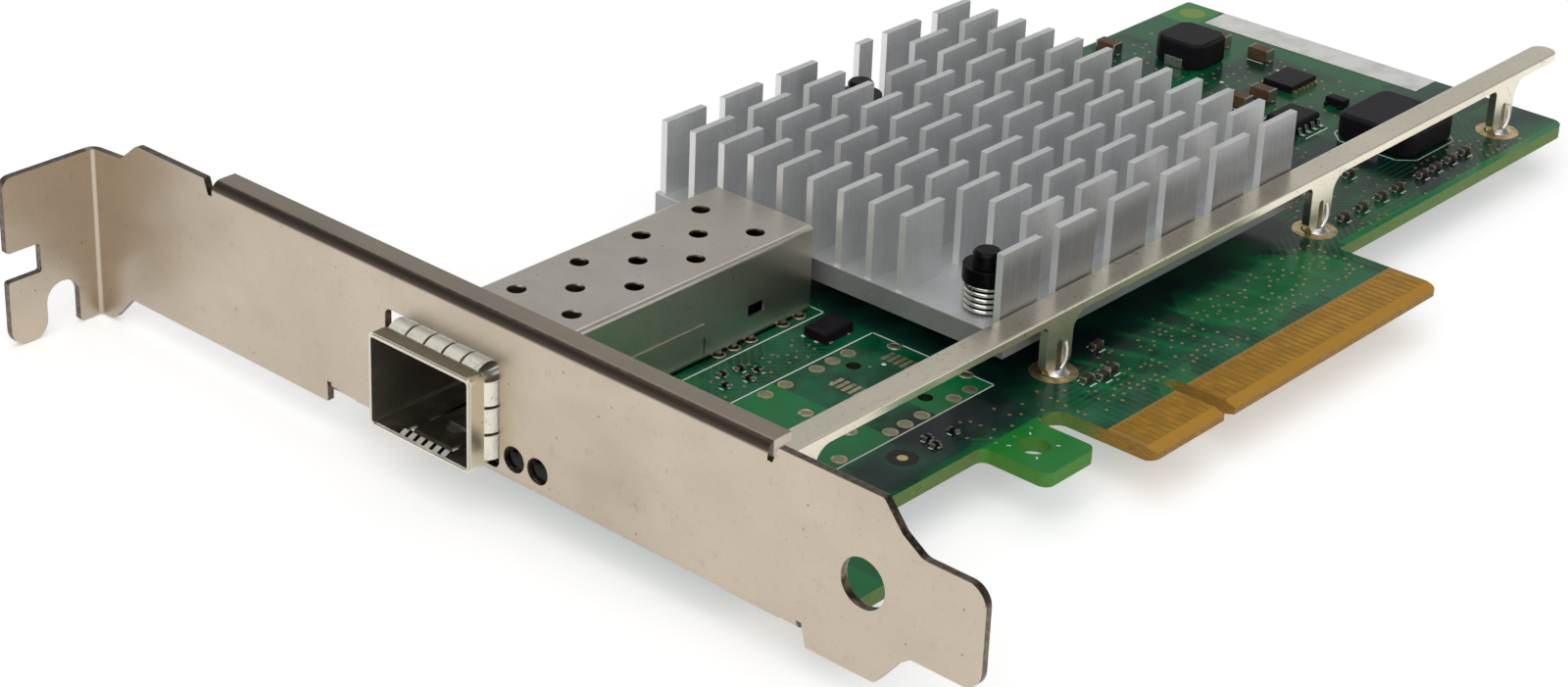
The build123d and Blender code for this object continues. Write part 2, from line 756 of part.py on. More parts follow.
def make_connector_housing():
    """Host connector inside the cage, with its card slot and two locating pegs."""
    half = connector_width / 2
    low_z = 0.1
    body = outline([
        (connector_near_x, low_z, 0),
        (connector_far_x, low_z, 0),
        (connector_far_x, connector_height, 0.8),
        (connector_near_x, connector_height, 0.3),
    ])
    housing = along_y(body, port_y - half, port_y + half)
    slot_half = connector_slot_width / 2
    housing -= block(connector_near_x - 1, connector_far_x - 1.2, port_y - slot_half, port_y + slot_half,
                     connector_slot_z, connector_slot_z + connector_slot_height)
    for x, y in peg_places(port_y):
        housing += post(x, y, peg_hole_d - 0.1, board_solder_z + 0.3, low_z + 0.2)
    return housing


def make_connector_contacts():
    """Soldered feet of the host connector."""
    feet = []
    half = contact_width / 2
    for x, y in contact_rows(port_y):
        if x < peg_x:
            x0, x1 = x - pad_length * 0.35, connector_near_x
        else:
            x0, x1 = connector_far_x, x + pad_length * 0.35
        feet.append(block(x0, x1, y - half, y + half, copper_thickness, copper_thickness + 0.2))
    return Compound(children=feet)


def make_port_pads():
    """Tinned pads and rings of the two port land patterns."""
    pads = []
    for centre_y in (port_y, spare_port_y):
        for x, y in contact_rows(centre_y):
            pads.append(block(x - pad_length / 2, x + pad_length / 2, y - pad_width / 2, y + pad_width / 2,
                              0, copper_thickness))
    ring_d = port_pin_hole_d + 2 * ring_width
    for x, y in port_pin_places(spare_port_y):
        pads.append(ring_pad(x, y, ring_d, port_pin_hole_d, 0, small_hole_sides))
    return Compound(children=pads)


def make_heat_sink():
    """Pin-fin heat sink: a base plate with short fins in columns and rows."""
    far_x = sink_near_x + sink_length
    high_y = sink_low_y + sink_width
    sink = block(sink_near_x, far_x, sink_low_y, high_y, sink_base_z, sink_top_z)
    sink = chamfer(sink.edges().filter_by(Axis.Z), 0.4)
    for x, y in push_pin_places:
        sink -= post(x, y, pin_hole_d, sink_base_z - 1, sink_top_z + 1)
    fin_top = sink_top_z + fin_height
    fins = []
    for column in range(fin_columns):
        x0 = first_fin_x + column * fin_column_pitch
        for row in range(fin_rows):
            y0 = first_fin_y + row * fin_row_pitch
            if (column, row) not in missing_fins:
                fins.append(block(x0, x0 + fin_length, y0, y0 + fin_thickness, sink_top_z, fin_top))
    x0 = first_fin_x + pin_2_fin[0] * fin_column_pitch + half_fin_start
    y0 = first_fin_y + (fin_rows - 1) * fin_row_pitch
    fins.append(block(x0, x0 + half_fin_length, y0, y0 + fin_thickness, sink_top_z, fin_top))
    return sink + fins


def make_push_pins():
    """Nylon push pins: cap, flange, shaft and the barbed tip behind the board."""
    pins = []
    head_top = pin_head_z + pin_head_height
    cap_top = head_top + pin_cap_height
    barb_z = board_solder_z - pin_barb_gap
    shaft = pin_shaft_d / 2
    profile = [
        (0, cap_top),
        (pin_cap_d / 2 - 0.3, cap_top),
        (pin_cap_d / 2, cap_top - 0.3),
        (pin_cap_d / 2, head_top),
        (pin_head_d / 2, head_top),
        (pin_head_d / 2, pin_head_z),
        (shaft, pin_head_z),
        (shaft, barb_z),
        (pin_barb_d / 2, barb_z),
        (pin_barb_d / 2, barb_z - 0.4),
        (shaft * 0.55, barb_z - pin_barb_height),
        (0, barb_z - pin_barb_height),
    ]
    section = Plane.XZ * make_face(Polyline(*profile, close=True))
    body = revolve(section, Axis.Z)
    split = block(-0.25, 0.25, -3, 3, barb_z - pin_barb_height - 1, barb_z - 0.2)
    body -= split
    for x, y in push_pin_places:
        pins.append(Pos(x, y, 0) * body)
    return Compound(children=pins)


def make_push_pin_springs():
    """Coil springs between the heat sink's base and the flanges of the push pins."""
    radius = (spring_outer_d - spring_wire_d) / 2
    low_z = sink_top_z + spring_wire_d / 2
    height = pin_head_z - sink_top_z - spring_wire_d
    steps = round(spring_turns * spring_steps)
    bends = []
    for i in range(steps + 1):
        angle = 2 * math.pi * i / spring_steps
        bends.append((radius * math.cos(angle), radius * math.sin(angle), height * i / steps))
    path = Polyline(*bends)
    wire = Plane(origin=path @ 0, z_dir=path % 0) * RegularPolygon(spring_wire_d / 2, 4)
    spring = sweep(wire, path=path, transition=Transition.RIGHT)
    coils = [Pos(x, y, low_z) * spring for x, y in push_pin_places]
    return Compound(children=coils)


def make_controller_chip():
    """Square ball-grid package with a stepped cap."""
    half = chip_size / 2
    x, y = chip_centre
    substrate_top = chip_gap + 0.8
    chip = block(x - half, x + half, y - half, y + half, chip_gap, substrate_top)
    cap_half = half - 1.5
    cap = block(x - cap_half, x + cap_half, y - cap_half, y + cap_half, substrate_top, chip_gap + chip_height)
    return chip + cap


def make_thermal_pad():
    """Soft pad between the package and the heat sink."""
    half = thermal_pad_size / 2
    x, y = chip_centre
    return block(x - half, x + half, y - half, y + half, chip_gap + chip_height, sink_base_z)


def make_oscillator():
    """Black oscillator package with a chamfered top."""
    return chip_block(oscillator_centre, oscillator_size, oscillator_size[2], solder_gap, 0.25)


def make_square_inductor():
    """Moulded inductor with cut corners."""
    size = square_inductor_size
    square = Rectangle(size, size)
    plan = chamfer(square.vertices(), square_inductor_cut)
    z0 = solder_gap + terminal_sheet
    return chip_block(square_inductor_centre, (size, size), square_inductor_height, z0, 0.3, plan)


def make_wide_inductor():
    """Large moulded inductor with rounded corners."""
    plan = RectangleRounded(wide_inductor_size[0], wide_inductor_size[1], wide_inductor_corner_r)
    z0 = solder_gap + terminal_sheet
    return chip_block(wide_inductor_centre, wide_inductor_size, wide_inductor_height, z0, 0.4, plan)


def make_inductor_terminals():
    """Flat terminals under the two inductors, turned up at their ends."""
    clips = []
    places = [
        (square_inductor_centre, square_inductor_size, solder_gap),
        (wide_inductor_centre, wide_inductor_size[0], solder_gap),
    ]
    for (x, y), length, z0 in places:
        half = terminal_width / 2
        for side in (-1, 1):
            end = x + side * (length / 2 + terminal_sheet)
            inner = x + side * (length / 2 - 1.4)
            wall = x + side * length / 2
            x0, x1 = sorted((inner, end))
            clip = block(x0, x1, y - half, y + half, z0, z0 + terminal_sheet)
            x0, x1 = sorted((wall, end))
            clips.append(clip + block(x0, x1, y - half, y + half, z0, z0 + 1.3))
    return Compound(children=clips)


def make_soic_chip():
    """Small-outline memory package."""
    return chip_block(soic_centre, soic_size, soic_height, 0.15, 0.25)


def make_soic_leads():
    """Gull-wing leads of the memory package."""
    x, y = soic_centre
    half = soic_size[1] / 2
    lead_face = outline([
        (0, soic_lead_z, 0),
        (0, soic_lead_z + soic_lead_sheet, 0),
        (soic_lead_reach * 0.3, soic_lead_z + soic_lead_sheet, 0),
        (soic_lead_reach * 0.5, solder_gap + soic_lead_sheet, 0),
        (soic_lead_reach, solder_gap + soic_lead_sheet, 0),
        (soic_lead_reach, solder_gap, 0),
        (soic_lead_reach * 0.35, solder_gap, 0),
        (soic_lead_reach * 0.15, soic_lead_z, 0),
    ])
    lead = along_x(lead_face, -soic_lead_width / 2, soic_lead_width / 2)
    leads = []
    for i in range(4):
        lead_x = x + (i - 1.5) * soic_pitch
        leads.append(Pos(lead_x, y + half, 0) * lead)
        leads.append(Pos(lead_x, y - half, 0) * Rot(0, 0, 180) * lead)
    return Compound(children=leads)


def make_regulator_chip():
    """Flat no-lead regulator package."""
    return chip_block(regulator_centre, regulator_size, regulator_height, solder_gap, 0.05)


def make_regulator_pads():
    """Exposed pads along the two long sides of the regulator."""
    x, y = regulator_centre
    pitch = regulator_size[0] / regulator_pads
    pads = []
    for i in range(regulator_pads):
        pad_x = x + (i - (regulator_pads - 1) / 2) * pitch
        for side in (-1, 1):
            edge = y + side * regulator_size[1] / 2
            y0, y1 = sorted((edge, edge + side * 0.45))
            pads.append(block(pad_x - pitch * 0.3, pad_x + pitch * 0.3, y0, y1, solder_gap, solder_gap + 0.3))
    return Compound(children=pads)


def make_transistor():
    """Small three-lead transistor body with its leads."""
    x, y = transistor_centre
    width, length = transistor_size
    body = chip_block(transistor_centre, transistor_size, transistor_height, 0.1, 0.12)
    half = 0.2
    for side, offset in ((-1, -0.95), (-1, 0.95), (1, 0)):
        x0, x1 = sorted((x + side * width / 2, x + side * (width / 2 + 0.55)))
        body += block(x0, x1, y + offset - half, y + offset + half, solder_gap, solder_gap + 0.35)
    return body


def small_parts(places, size, height, turned, z0):
    """Bodies of chip capacitors or resistors, between their end caps."""
    length = size[0] - 2 * end_cap_length
    bodies = []
    for x, y in places:
        along, across = (size[1], length) if turned else (length, size[1])
        bodies.append(block(x - along / 2, x + along / 2, y - across / 2, y + across / 2, z0, z0 + height))
    return bodies


def small_part_ends(places, size, height, turned, z0):
    """Soldered end caps of chip capacitors or resistors."""
    caps = []
    reach = size[0] / 2
    for x, y in places:
        for side in (-1, 1):
            near, far = sorted((side * (reach - end_cap_length), side * reach))
            half = size[1] / 2
            if turned:
                caps.append(block(x - half, x + half, y + near, y + far, z0, z0 + height))
            else:
                caps.append(block(x + near, x + far, y - half, y + half, z0, z0 + height))
    return caps


def rear_cap_places():
    """Grid of decoupling capacitors behind the controller."""
    x, y = chip_centre
    columns = [(i - (rear_cap_columns - 1) / 2) * rear_cap_pitch for i in range(rear_cap_columns)]
    rows = [(i - (rear_cap_rows - 1) / 2) * rear_cap_pitch for i in range(rear_cap_rows)]
    return [(x + dx, y + dy) for dx in columns for dy in rows]


small_cap_places = [(x, small_caps_y) for x in small_caps_x] + loose_caps
rear_z = board_solder_z - solder_gap - small_cap_height


def make_large_capacitors():
    """Large ceramic capacitors, standing along Y."""
    turned_size = (large_cap_size[1], large_cap_size[0])
    return Compound(children=small_parts(large_caps, turned_size, large_cap_height, True, solder_gap))


def make_small_capacitors():
    """Small ceramic capacitors on both faces of the board."""
    bodies = small_parts(small_cap_places, small_cap_size, small_cap_height, False, solder_gap)
    bodies += small_parts(rear_cap_places(), small_cap_size, small_cap_height, False, rear_z)
    return Compound(children=bodies)


def make_resistors():
    """Chip resistors."""
    bodies = small_parts(resistors_along_x, resistor_size, resistor_height, False, solder_gap)
    bodies += small_parts(resistors_along_y, resistor_size, resistor_height, True, solder_gap)
    return Compound(children=bodies)


def make_solder_ends():
    """Tinned end caps of every capacitor and resistor."""
    turned_size = (large_cap_size[1], large_cap_size[0])
    caps = small_part_ends(large_caps, turned_size, large_cap_height, True, solder_gap)
    caps += small_part_ends(small_cap_places, small_cap_size, small_cap_height, False, solder_gap)
    caps += small_part_ends(rear_cap_places(), small_cap_size, small_cap_height, False, rear_z)
    caps += small_part_ends(resistors_along_x, resistor_size, resistor_height, False, solder_gap)
    caps += small_part_ends(resistors_along_y, resistor_size, resistor_height, True, solder_gap)
    return Compound(children=caps)


def make_label():
    """Plain label near the far edge."""
    x0, y0 = label_near_x, label_low_y
    return block(x0, x0 + label_size[0], y0, y0 + label_size[1], 0, label_thickness)


def make_status_lamps():
    """Two right-angle lamps whose lenses look through the bracket."""
    lamps = []
    front_x = board_near_x + lamp_edge_inset
    lens_r = lamp_lens_d / 2
    tip_x = bracket_inner_x + 0.3
    for i in range(2):
        y = led_y + i * led_pitch
        body = block(front_x, front_x + lamp_length, y - lamp_width / 2, y + lamp_width / 2, solder_gap, lamp_height)
        lens = along_x(Pos(y, led_z) * Circle(lens_r), tip_x, front_x)
        lens = chamfer(lens.edges().sort_by(Axis.X)[0], lens_r * 0.4)
        lamps.append(body + lens)
    return Compound(children=lamps)


nodes = {
    "circuit_board": make_circuit_board(),
    "edge_contacts_front": make_edge_contacts(0),
    "edge_contacts_back": make_edge_contacts(board_solder_z - finger_thickness),
    "bracket": make_bracket(),
    "bracket_screws": make_bracket_screws(),
    "stiffener_bar": make_stiffener_bar(),
    "stiffener_pads": make_stiffener_pads(),
    "port_cage": make_port_cage(),
    "cage_floor": make_cage_floor(),
    "cage_collar": make_cage_collar(),
    "connector_housing": make_connector_housing(),
    "connector_contacts": make_connector_contacts(),
    "port_pads": make_port_pads(),
    "heat_sink": make_heat_sink(),
    "push_pins": make_push_pins(),
    "push_pin_springs": make_push_pin_springs(),
    "controller_chip": make_controller_chip(),
    "thermal_pad": make_thermal_pad(),
    "oscillator": make_oscillator(),
    "square_inductor": make_square_inductor(),
    "wide_inductor": make_wide_inductor(),
    "inductor_terminals": make_inductor_terminals(),
    "soic_chip": make_soic_chip(),
    "soic_leads": make_soic_leads(),
    "regulator_chip": make_regulator_chip(),
    "regulator_pads": make_regulator_pads(),
    "transistor": make_transistor(),
    "large_capacitors": make_large_capacitors(),
    "small_capacitors": make_small_capacitors(),
    "resistors": make_resistors(),
    "solder_ends": make_solder_ends(),
    "label": make_label(),
    "status_lamps": make_status_lamps(),
}

for name, shape in nodes.items():
    export_step(shape, "parts/" + name + ".step")
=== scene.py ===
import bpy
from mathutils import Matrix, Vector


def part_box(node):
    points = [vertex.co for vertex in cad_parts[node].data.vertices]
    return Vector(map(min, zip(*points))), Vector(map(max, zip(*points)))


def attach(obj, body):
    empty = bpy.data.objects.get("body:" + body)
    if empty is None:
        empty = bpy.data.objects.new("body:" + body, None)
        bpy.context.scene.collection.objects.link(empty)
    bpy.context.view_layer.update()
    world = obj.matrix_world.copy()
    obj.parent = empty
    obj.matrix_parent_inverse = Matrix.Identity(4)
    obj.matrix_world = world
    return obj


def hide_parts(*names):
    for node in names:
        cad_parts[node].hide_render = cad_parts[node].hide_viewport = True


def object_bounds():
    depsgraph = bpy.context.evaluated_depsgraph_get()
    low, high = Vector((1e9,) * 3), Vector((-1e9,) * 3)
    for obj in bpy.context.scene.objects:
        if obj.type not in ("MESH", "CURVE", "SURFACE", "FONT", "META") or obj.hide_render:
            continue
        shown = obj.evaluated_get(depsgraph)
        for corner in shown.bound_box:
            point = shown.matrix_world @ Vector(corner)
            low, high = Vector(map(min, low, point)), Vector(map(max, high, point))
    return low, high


bl_info = {
    "name": "Network Interface Card",
    "version": (1, 0, 0),
    "blender": (4, 5, 0),
    "location": "View3D > Sidebar > Network Card",
    "description": "Dresses the solids of an expansion card with its finishes, fins, springs, vias and solder",
    "category": "Object",
}

import math
import random

import bmesh
import bpy
from mathutils import Matrix, Vector

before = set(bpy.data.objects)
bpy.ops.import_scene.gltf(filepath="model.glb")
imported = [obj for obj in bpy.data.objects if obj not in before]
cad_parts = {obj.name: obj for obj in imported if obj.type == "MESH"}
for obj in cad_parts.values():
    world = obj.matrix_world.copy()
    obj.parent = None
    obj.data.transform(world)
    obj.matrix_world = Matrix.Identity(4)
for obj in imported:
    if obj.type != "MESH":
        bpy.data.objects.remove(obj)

MM = 0.001
FLOOR_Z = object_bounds()[0][2]
WELD = 2e-7  # corners nearer than this, in metres, are one
CHIP_PARTS = ("resistors", "small_capacitors", "large_capacitors")


def paint(red, green, blue):
    """Screen colour in 0 to 255 as the linear colour that nodes use."""
    def linear(level):
        level = level / 255
        return level / 12.92 if level <= 0.04045 else ((level + 0.055) / 1.055) ** 2.4
    return (linear(red), linear(green), linear(blue), 1.0)


def scaled(colour, factor):
    """Colour made lighter or darker by a factor."""
    return tuple(min(1.0, level * factor) for level in colour[:3]) + (1.0,)


def flat(places, z=0.0):
    """Places in millimetres as points at one height."""
    return [(x * MM, y * MM, z) for x, y in places]


# Nodes


def arithmetic(operation, reflected=False):
    """A method that adds a Math node."""
    def work(self, *others):
        return self.math(operation, *(others + (self,) if reflected else (self,) + others))
    return work


class Value:
    """A node's output that arithmetic works on. Each expression adds its Math nodes."""

    __add__, __radd__ = arithmetic("ADD"), arithmetic("ADD", True)
    __sub__, __rsub__ = arithmetic("SUBTRACT"), arithmetic("SUBTRACT", True)
    __mul__, __rmul__ = arithmetic("MULTIPLY"), arithmetic("MULTIPLY", True)
    __truediv__, __rtruediv__ = arithmetic("DIVIDE"), arithmetic("DIVIDE", True)
    __abs__, fraction, root = arithmetic("ABSOLUTE"), arithmetic("FRACT"), arithmetic("SQRT")
    above, below, largest = arithmetic("GREATER_THAN"), arithmetic("LESS_THAN"), arithmetic("MAXIMUM")

    def __init__(self, tree, socket):
        self.tree = tree
        self.socket = socket

    def output(self, name):
        """Another output of the same node."""
        return Value(self.tree, self.socket.node.outputs[name])

    def math(self, operation, *items):
        node = self.tree.nodes.new("ShaderNodeMath")
        node.operation = operation
        for place, item in enumerate(items):
            feed(self.tree, item, node.inputs[place])
        return Value(self.tree, node.outputs[0])

    def rise(self, low, high):
        """0 below low, 1 above high, smooth between. Falls where high is under low."""
        node = self.tree.nodes.new("ShaderNodeMapRange")
        node.interpolation_type = "SMOOTHSTEP"
        feed(self.tree, self, node.inputs["Value"])
        ends = (1.0, 0.0) if high < low else (0.0, 1.0)
        for name, item in zip(("From Min", "From Max", "To Min", "To Max"), (min(low, high), max(low, high)) + ends):
            node.inputs[name].default_value = item
        return Value(self.tree, node.outputs["Result"])


def feed(tree, item, socket):
    """Links a value to a socket, or sets the socket to a plain number, colour or vector."""
    if isinstance(item, Value):
        tree.links.new(item.socket, socket)
    elif item is not None:
        socket.default_value = item


class NodeWork:
    """Adds nodes to one tree."""

    def __init__(self, tree):
        self.tree = tree

    def add(self, kind, settings=None, sockets=None, out=0):
        """Adds a node: its type, its settings, then the values or links of its sockets."""
        node = self.tree.nodes.new(kind)
        for name, setting in (settings or {}).items():
            setattr(node, name, setting)
        for name, item in (sockets or {}).items():
            feed(self.tree, item, node.inputs[name])
        return Value(self.tree, node.outputs[out])

    def end(self, kind, value):
        """Feeds the tree's output node."""
        self.tree.links.new(value.socket, self.tree.nodes.new(kind).inputs[0])

    def seen(self):
        """1 for rays that show it, straight or in gloss or clear parts, and 0 for rays that only light."""
        ray = self.add("ShaderNodeLightPath")
        straight = ray.output("Is Camera Ray").largest(ray.output("Is Glossy Ray"))
        return straight.largest(ray.output("Is Transmission Ray"))


class Finish(NodeWork):
    """A material under construction. Its coordinates are the object's own, in millimetres."""

    def __init__(self, name, colour, roughness, metallic=0.0, **plain):
        self.material = bpy.data.materials.new(name)
        self.material.use_nodes = True
        super().__init__(self.material.node_tree)
        self.surface = self.tree.nodes["Principled BSDF"]
        plain.update(Base_Color=colour, Roughness=roughness, Metallic=metallic)
        for key, setting in plain.items():
            self.set(key.replace("_", " "), setting)
        coordinates = self.add("ShaderNodeTexCoord", out="Object")
        self.place = self.add("ShaderNodeVectorMath", {"operation": "SCALE"}, {0: coordinates, "Scale": 1 / MM})
        self.x, self.y, self.z = self.parts(self.place)
        self.facing_x, self.facing_y, self.facing_z = self.parts(coordinates.output("Normal"))

    def parts(self, vector):
        """The three numbers of a vector or colour."""
        split = self.add("ShaderNodeSeparateXYZ", None, {0: vector})
        return split, split.output("Y"), split.output("Z")

    def stretched(self, stretch):
        return self.add("ShaderNodeVectorMath", {"operation": "MULTIPLY"}, {0: self.place, 1: stretch})

    def noise(self, scale, detail=2.0, stretch=(1.0, 1.0, 1.0), distortion=0.0, roughness=0.5):
        """Cloudy 0 to 1 value. Scale is per millimetre."""
        return self.add("ShaderNodeTexNoise", None, {
            "Vector": self.stretched(stretch), "Scale": scale, "Detail": detail,
            "Distortion": distortion, "Roughness": roughness})

    def cells(self, scale, metric="EUCLIDEAN", stretch=(1.0, 1.0, 1.0)):
        """Distance to the centre of random cells. The output Color names the cell."""
        sockets = {"Vector": self.stretched(stretch), "Scale": scale}
        return self.add("ShaderNodeTexVoronoi", {"distance": metric}, sockets)

    def mix(self, factor, first, second):
        """Colour between two colours."""
        settings = {"data_type": "RGBA", "clamp_factor": True}
        return self.add("ShaderNodeMix", settings, {0: factor, 6: first, 7: second}, out=2)

    def shade(self, mask, colour, low, high):
        """Starts the tone: the colour times low where the mask is 0, and times high where it is 1."""
        self.tone = self.mix(mask, scaled(colour, low), scaled(colour, high))

    def over(self, mask, colour):
        """Lays a colour over the tone where the mask is 1."""
        self.tone = self.mix(mask, self.tone, colour)

    def stripe(self, along, pitch, width, soft=0.12):
        """1 on lines of that width at that pitch."""
        offset = abs((along / pitch).fraction() - 0.5)
        half = width / pitch / 2
        return offset.rise(half + soft * half, half - soft * half)

    def inside(self, *rectangles, soft=0.06):
        """1 inside any of the rectangles of the board."""
        total = 0.0
        for x0, x1, y0, y1 in rectangles:
            across = self.x.rise(x0 - soft, x0 + soft) * self.x.rise(x1 + soft, x1 - soft)
            along = self.y.rise(y0 - soft, y0 + soft) * self.y.rise(y1 + soft, y1 - soft)
            total = (across * along).largest(total)
        return total

    def disc(self, centre, radius, soft=0.06):
        """1 inside a circle of the board."""
        far_x, far_y = self.x - centre[0], self.y - centre[1]
        return (far_x * far_x + far_y * far_y).root().rise(radius + soft, radius - soft)

    def set(self, socket, value):
        feed(self.tree, value, self.surface.inputs[socket])

    def close(self, roughness=None, relief=None, depth=0.0, strength=1.0):
        """The finished material, with the tone, a roughness and a relief of that depth in millimetres."""
        self.set("Base Color", self.tone)
        self.set("Roughness", roughness)
        if relief is not None:
            sockets = {"Height": relief, "Distance": depth * MM, "Strength": strength}
            self.set("Normal", self.add("ShaderNodeBump", None, sockets))
        return self.material


class Pattern(NodeWork):
    """A Geometry Nodes tree that puts a shape on each point of a piece. Text in a socket names one of its sizes."""

    def __init__(self, name, **sizes):
        tree = bpy.data.node_groups.new(name, "GeometryNodeTree")
        super().__init__(tree)
        tree.interface.new_socket("Places", in_out="INPUT", socket_type="NodeSocketGeometry")
        self.identifiers = {}
        self.sizes = sizes
        for key, value in sizes.items():
            kind = "NodeSocketInt" if isinstance(value, int) else "NodeSocketFloat"
            label = key.replace("_", " ").capitalize()
            socket = tree.interface.new_socket(label, in_out="INPUT", socket_type=kind)
            self.identifiers[key] = (socket.identifier, label)
        tree.interface.new_socket("Geometry", in_out="OUTPUT", socket_type="NodeSocketGeometry")
        self.start = self.add("NodeGroupInput")

    def size(self, key):
        """A named input of the tree."""
        return self.start.output(self.identifiers[key][1])

    def add(self, kind, settings=None, sockets=None, out=0):
        sockets = {name: self.size(item) if isinstance(item, str) else item for name, item in (sockets or {}).items()}
        return super().add(kind, settings, sockets, out)

    def vector(self, x=0.0, y=0.0, z=0.0):
        return self.add("ShaderNodeCombineXYZ", None, {"X": x, "Y": y, "Z": z})

    def shift(self, shape, x=0.0, y=0.0, z=0.0):
        return self.add("GeometryNodeTransform", None, {"Geometry": shape, "Translation": self.vector(x, y, z)})

    def box(self, length="length", width="width", height="height"):
        """Box standing on the point."""
        shape = self.add("GeometryNodeMeshCube", None, {"Size": self.vector(length, width, height)}, out="Mesh")
        return self.shift(shape, z=self.size(height) / 2)

    def cone(self, low, high, height="height", sides="sides"):
        """Tapered post standing on the point."""
        sockets = {"Vertices": sides, "Side Segments": 1, "Radius Top": high, "Radius Bottom": low, "Depth": height}
        return self.add("GeometryNodeMeshCone", None, sockets, out="Mesh")

    def ring(self):
        """Flat ring standing on the point."""
        outer, inner, height = self.size("outer"), self.size("inner"), self.size("height")
        profile = self.add("GeometryNodeCurvePrimitiveQuadrilateral", None,
                           {"Width": outer - inner, "Height": height}, out="Curve")
        return self.shift(self.swept(self.circle((outer + inner) / 2), profile), z=height / 2)

    def circle(self, radius):
        return self.add("GeometryNodeCurvePrimitiveCircle", None, {"Resolution": "sides", "Radius": radius}, "Curve")

    def swept(self, path, profile, **sockets):
        sockets.update({"Curve": path, "Profile Curve": profile})
        return self.add("GeometryNodeCurveToMesh", None, sockets, out="Mesh")

    def tube(self, path, radius="radius"):
        """Smooth round bar with closed ends, along a path."""
        shape = self.swept(path, self.circle(radius), **{"Fill Caps": True})
        return self.smooth(shape)

    def smooth(self, shape):
        return self.add("GeometryNodeSetShadeSmooth", None, {"Geometry": shape, "Shade Smooth": True})

    def link_all(self, shapes, socket):
        for shape in shapes:
            self.tree.links.new(shape.socket, socket)
        return Value(self.tree, socket.node.outputs[0])

    def join(self, *shapes):
        return self.link_all(shapes, self.tree.nodes.new("GeometryNodeJoinGeometry").inputs[0])

    def united(self, *solids):
        """Solids joined into one."""
        node = self.tree.nodes.new("GeometryNodeMeshBoolean")
        node.operation = "UNION"
        return self.link_all(solids, node.inputs[1])

    def cut(self, body, *drills):
        """The body with the drills taken out."""
        node = self.tree.nodes.new("GeometryNodeMeshBoolean")
        node.operation = "DIFFERENCE"
        self.link_all((body,), node.inputs[0])
        return self.link_all(drills, node.inputs[1])

    def coloured(self, shape, material):
        return self.add("GeometryNodeSetMaterial", None, {"Geometry": shape, "Material": material})

    def real(self, shape):
        return self.add("GeometryNodeRealizeInstances", None, {"Geometry": shape})

    def on_places(self, shape):
        """The shape on every point."""
        points = self.add("GeometryNodeMeshToPoints", None, {"Mesh": self.start})
        return self.add("GeometryNodeInstanceOnPoints", None, {"Points": points, "Instance": shape})

    def finish(self, shape, material=None):
        """Ends the tree with real faces, in that material if there is one."""
        shape = self.real(shape)
        self.end("NodeGroupOutput", self.coloured(shape, material) if material else shape)

    def grow(self, name, places):
        """Runs the tree on the places and returns its result as a plain mesh."""
        points = bpy.data.meshes.new(name)
        points.from_pydata([Vector(place) for place in places], [], [])
        holder = linked(name, points)
        modifier = holder.modifiers.new("Pattern", "NODES")
        modifier.node_group = self.tree
        for key, value in self.sizes.items():
            modifier[self.identifiers[key][0]] = value
        bpy.context.view_layer.update()
        evaluated = holder.evaluated_get(bpy.context.evaluated_depsgraph_get())
        mesh = bpy.data.meshes.new_from_object(evaluated)
        holder.modifiers.clear()
        bpy.data.objects.remove(holder)
        mesh.name = name
        return mesh

    def put(self, name, places, slot, replaces=()):
        """Puts the grown pattern in the scene as a piece."""
        return place_piece(name, self.grow(name, places), slot, replaces)


# Pieces


def linked(name, data):
    """A new object in the scene."""
    item = bpy.data.objects.new(name, data)
    bpy.context.scene.collection.objects.link(item)
    return item


def welded(mesh):
    """The mesh opened for editing, with its loose triangles joined."""
    work = bmesh.new()
    work.from_mesh(mesh)
    bmesh.ops.remove_doubles(work, verts=work.verts, dist=WELD)
    return work


def mesh_of(work, name):
    """The edited shape as a mesh of that name."""
    mesh = bpy.data.meshes.new(name)
    work.to_mesh(mesh)
    work.free()
    return mesh


def dress(material, *names):
    """Gives CAD solids their finish."""
    for name in names:
        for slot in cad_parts[name].material_slots:
            slot.material = material


def place_piece(name, mesh, slot, replaces=(), material=None):
    """Puts a finished piece in the scene, on the card's body."""
    if material is not None:
        mesh.materials.clear()
        mesh.materials.append(material)
    piece = linked(name, mesh)
    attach(piece, "root")
    if replaces:
        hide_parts(*replaces)
    return piece


def merged(mesh, flat_angle=0.6):
    """Joins a mesh's loose triangles and clears the edges that lie inside flat faces."""
    work = welded(mesh)
    bmesh.ops.dissolve_limit(work, angle_limit=math.radians(flat_angle), verts=work.verts, edges=work.edges)
    return mesh_of(work, mesh.name + "_soft")


def rounded(piece, width, segments=2, angle=32):
    """Rounds a piece's sharp edges and shades it smooth."""
    for face in piece.data.polygons:
        face.use_smooth = True
    bevel = piece.modifiers.new("Rounded edges", "BEVEL")
    bevel.width = width
    bevel.segments = segments
    bevel.limit_method = "ANGLE"
    bevel.angle_limit = math.radians(angle)
    bevel.use_clamp_overlap = True
    bevel.miter_outer = "MITER_ARC"
    normals = piece.modifiers.new("Flat faces stay flat", "WEIGHTED_NORMAL")
    normals.keep_sharp = True
    normals.weight = 80
    return piece


def softened(node, width, material, segments=2):
    """The CAD solid with rounded edges, in place of the plain one."""
    piece = place_piece(node + "_rounded", merged(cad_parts[node].data), node, (node,), material)
    return rounded(piece, width, segments)


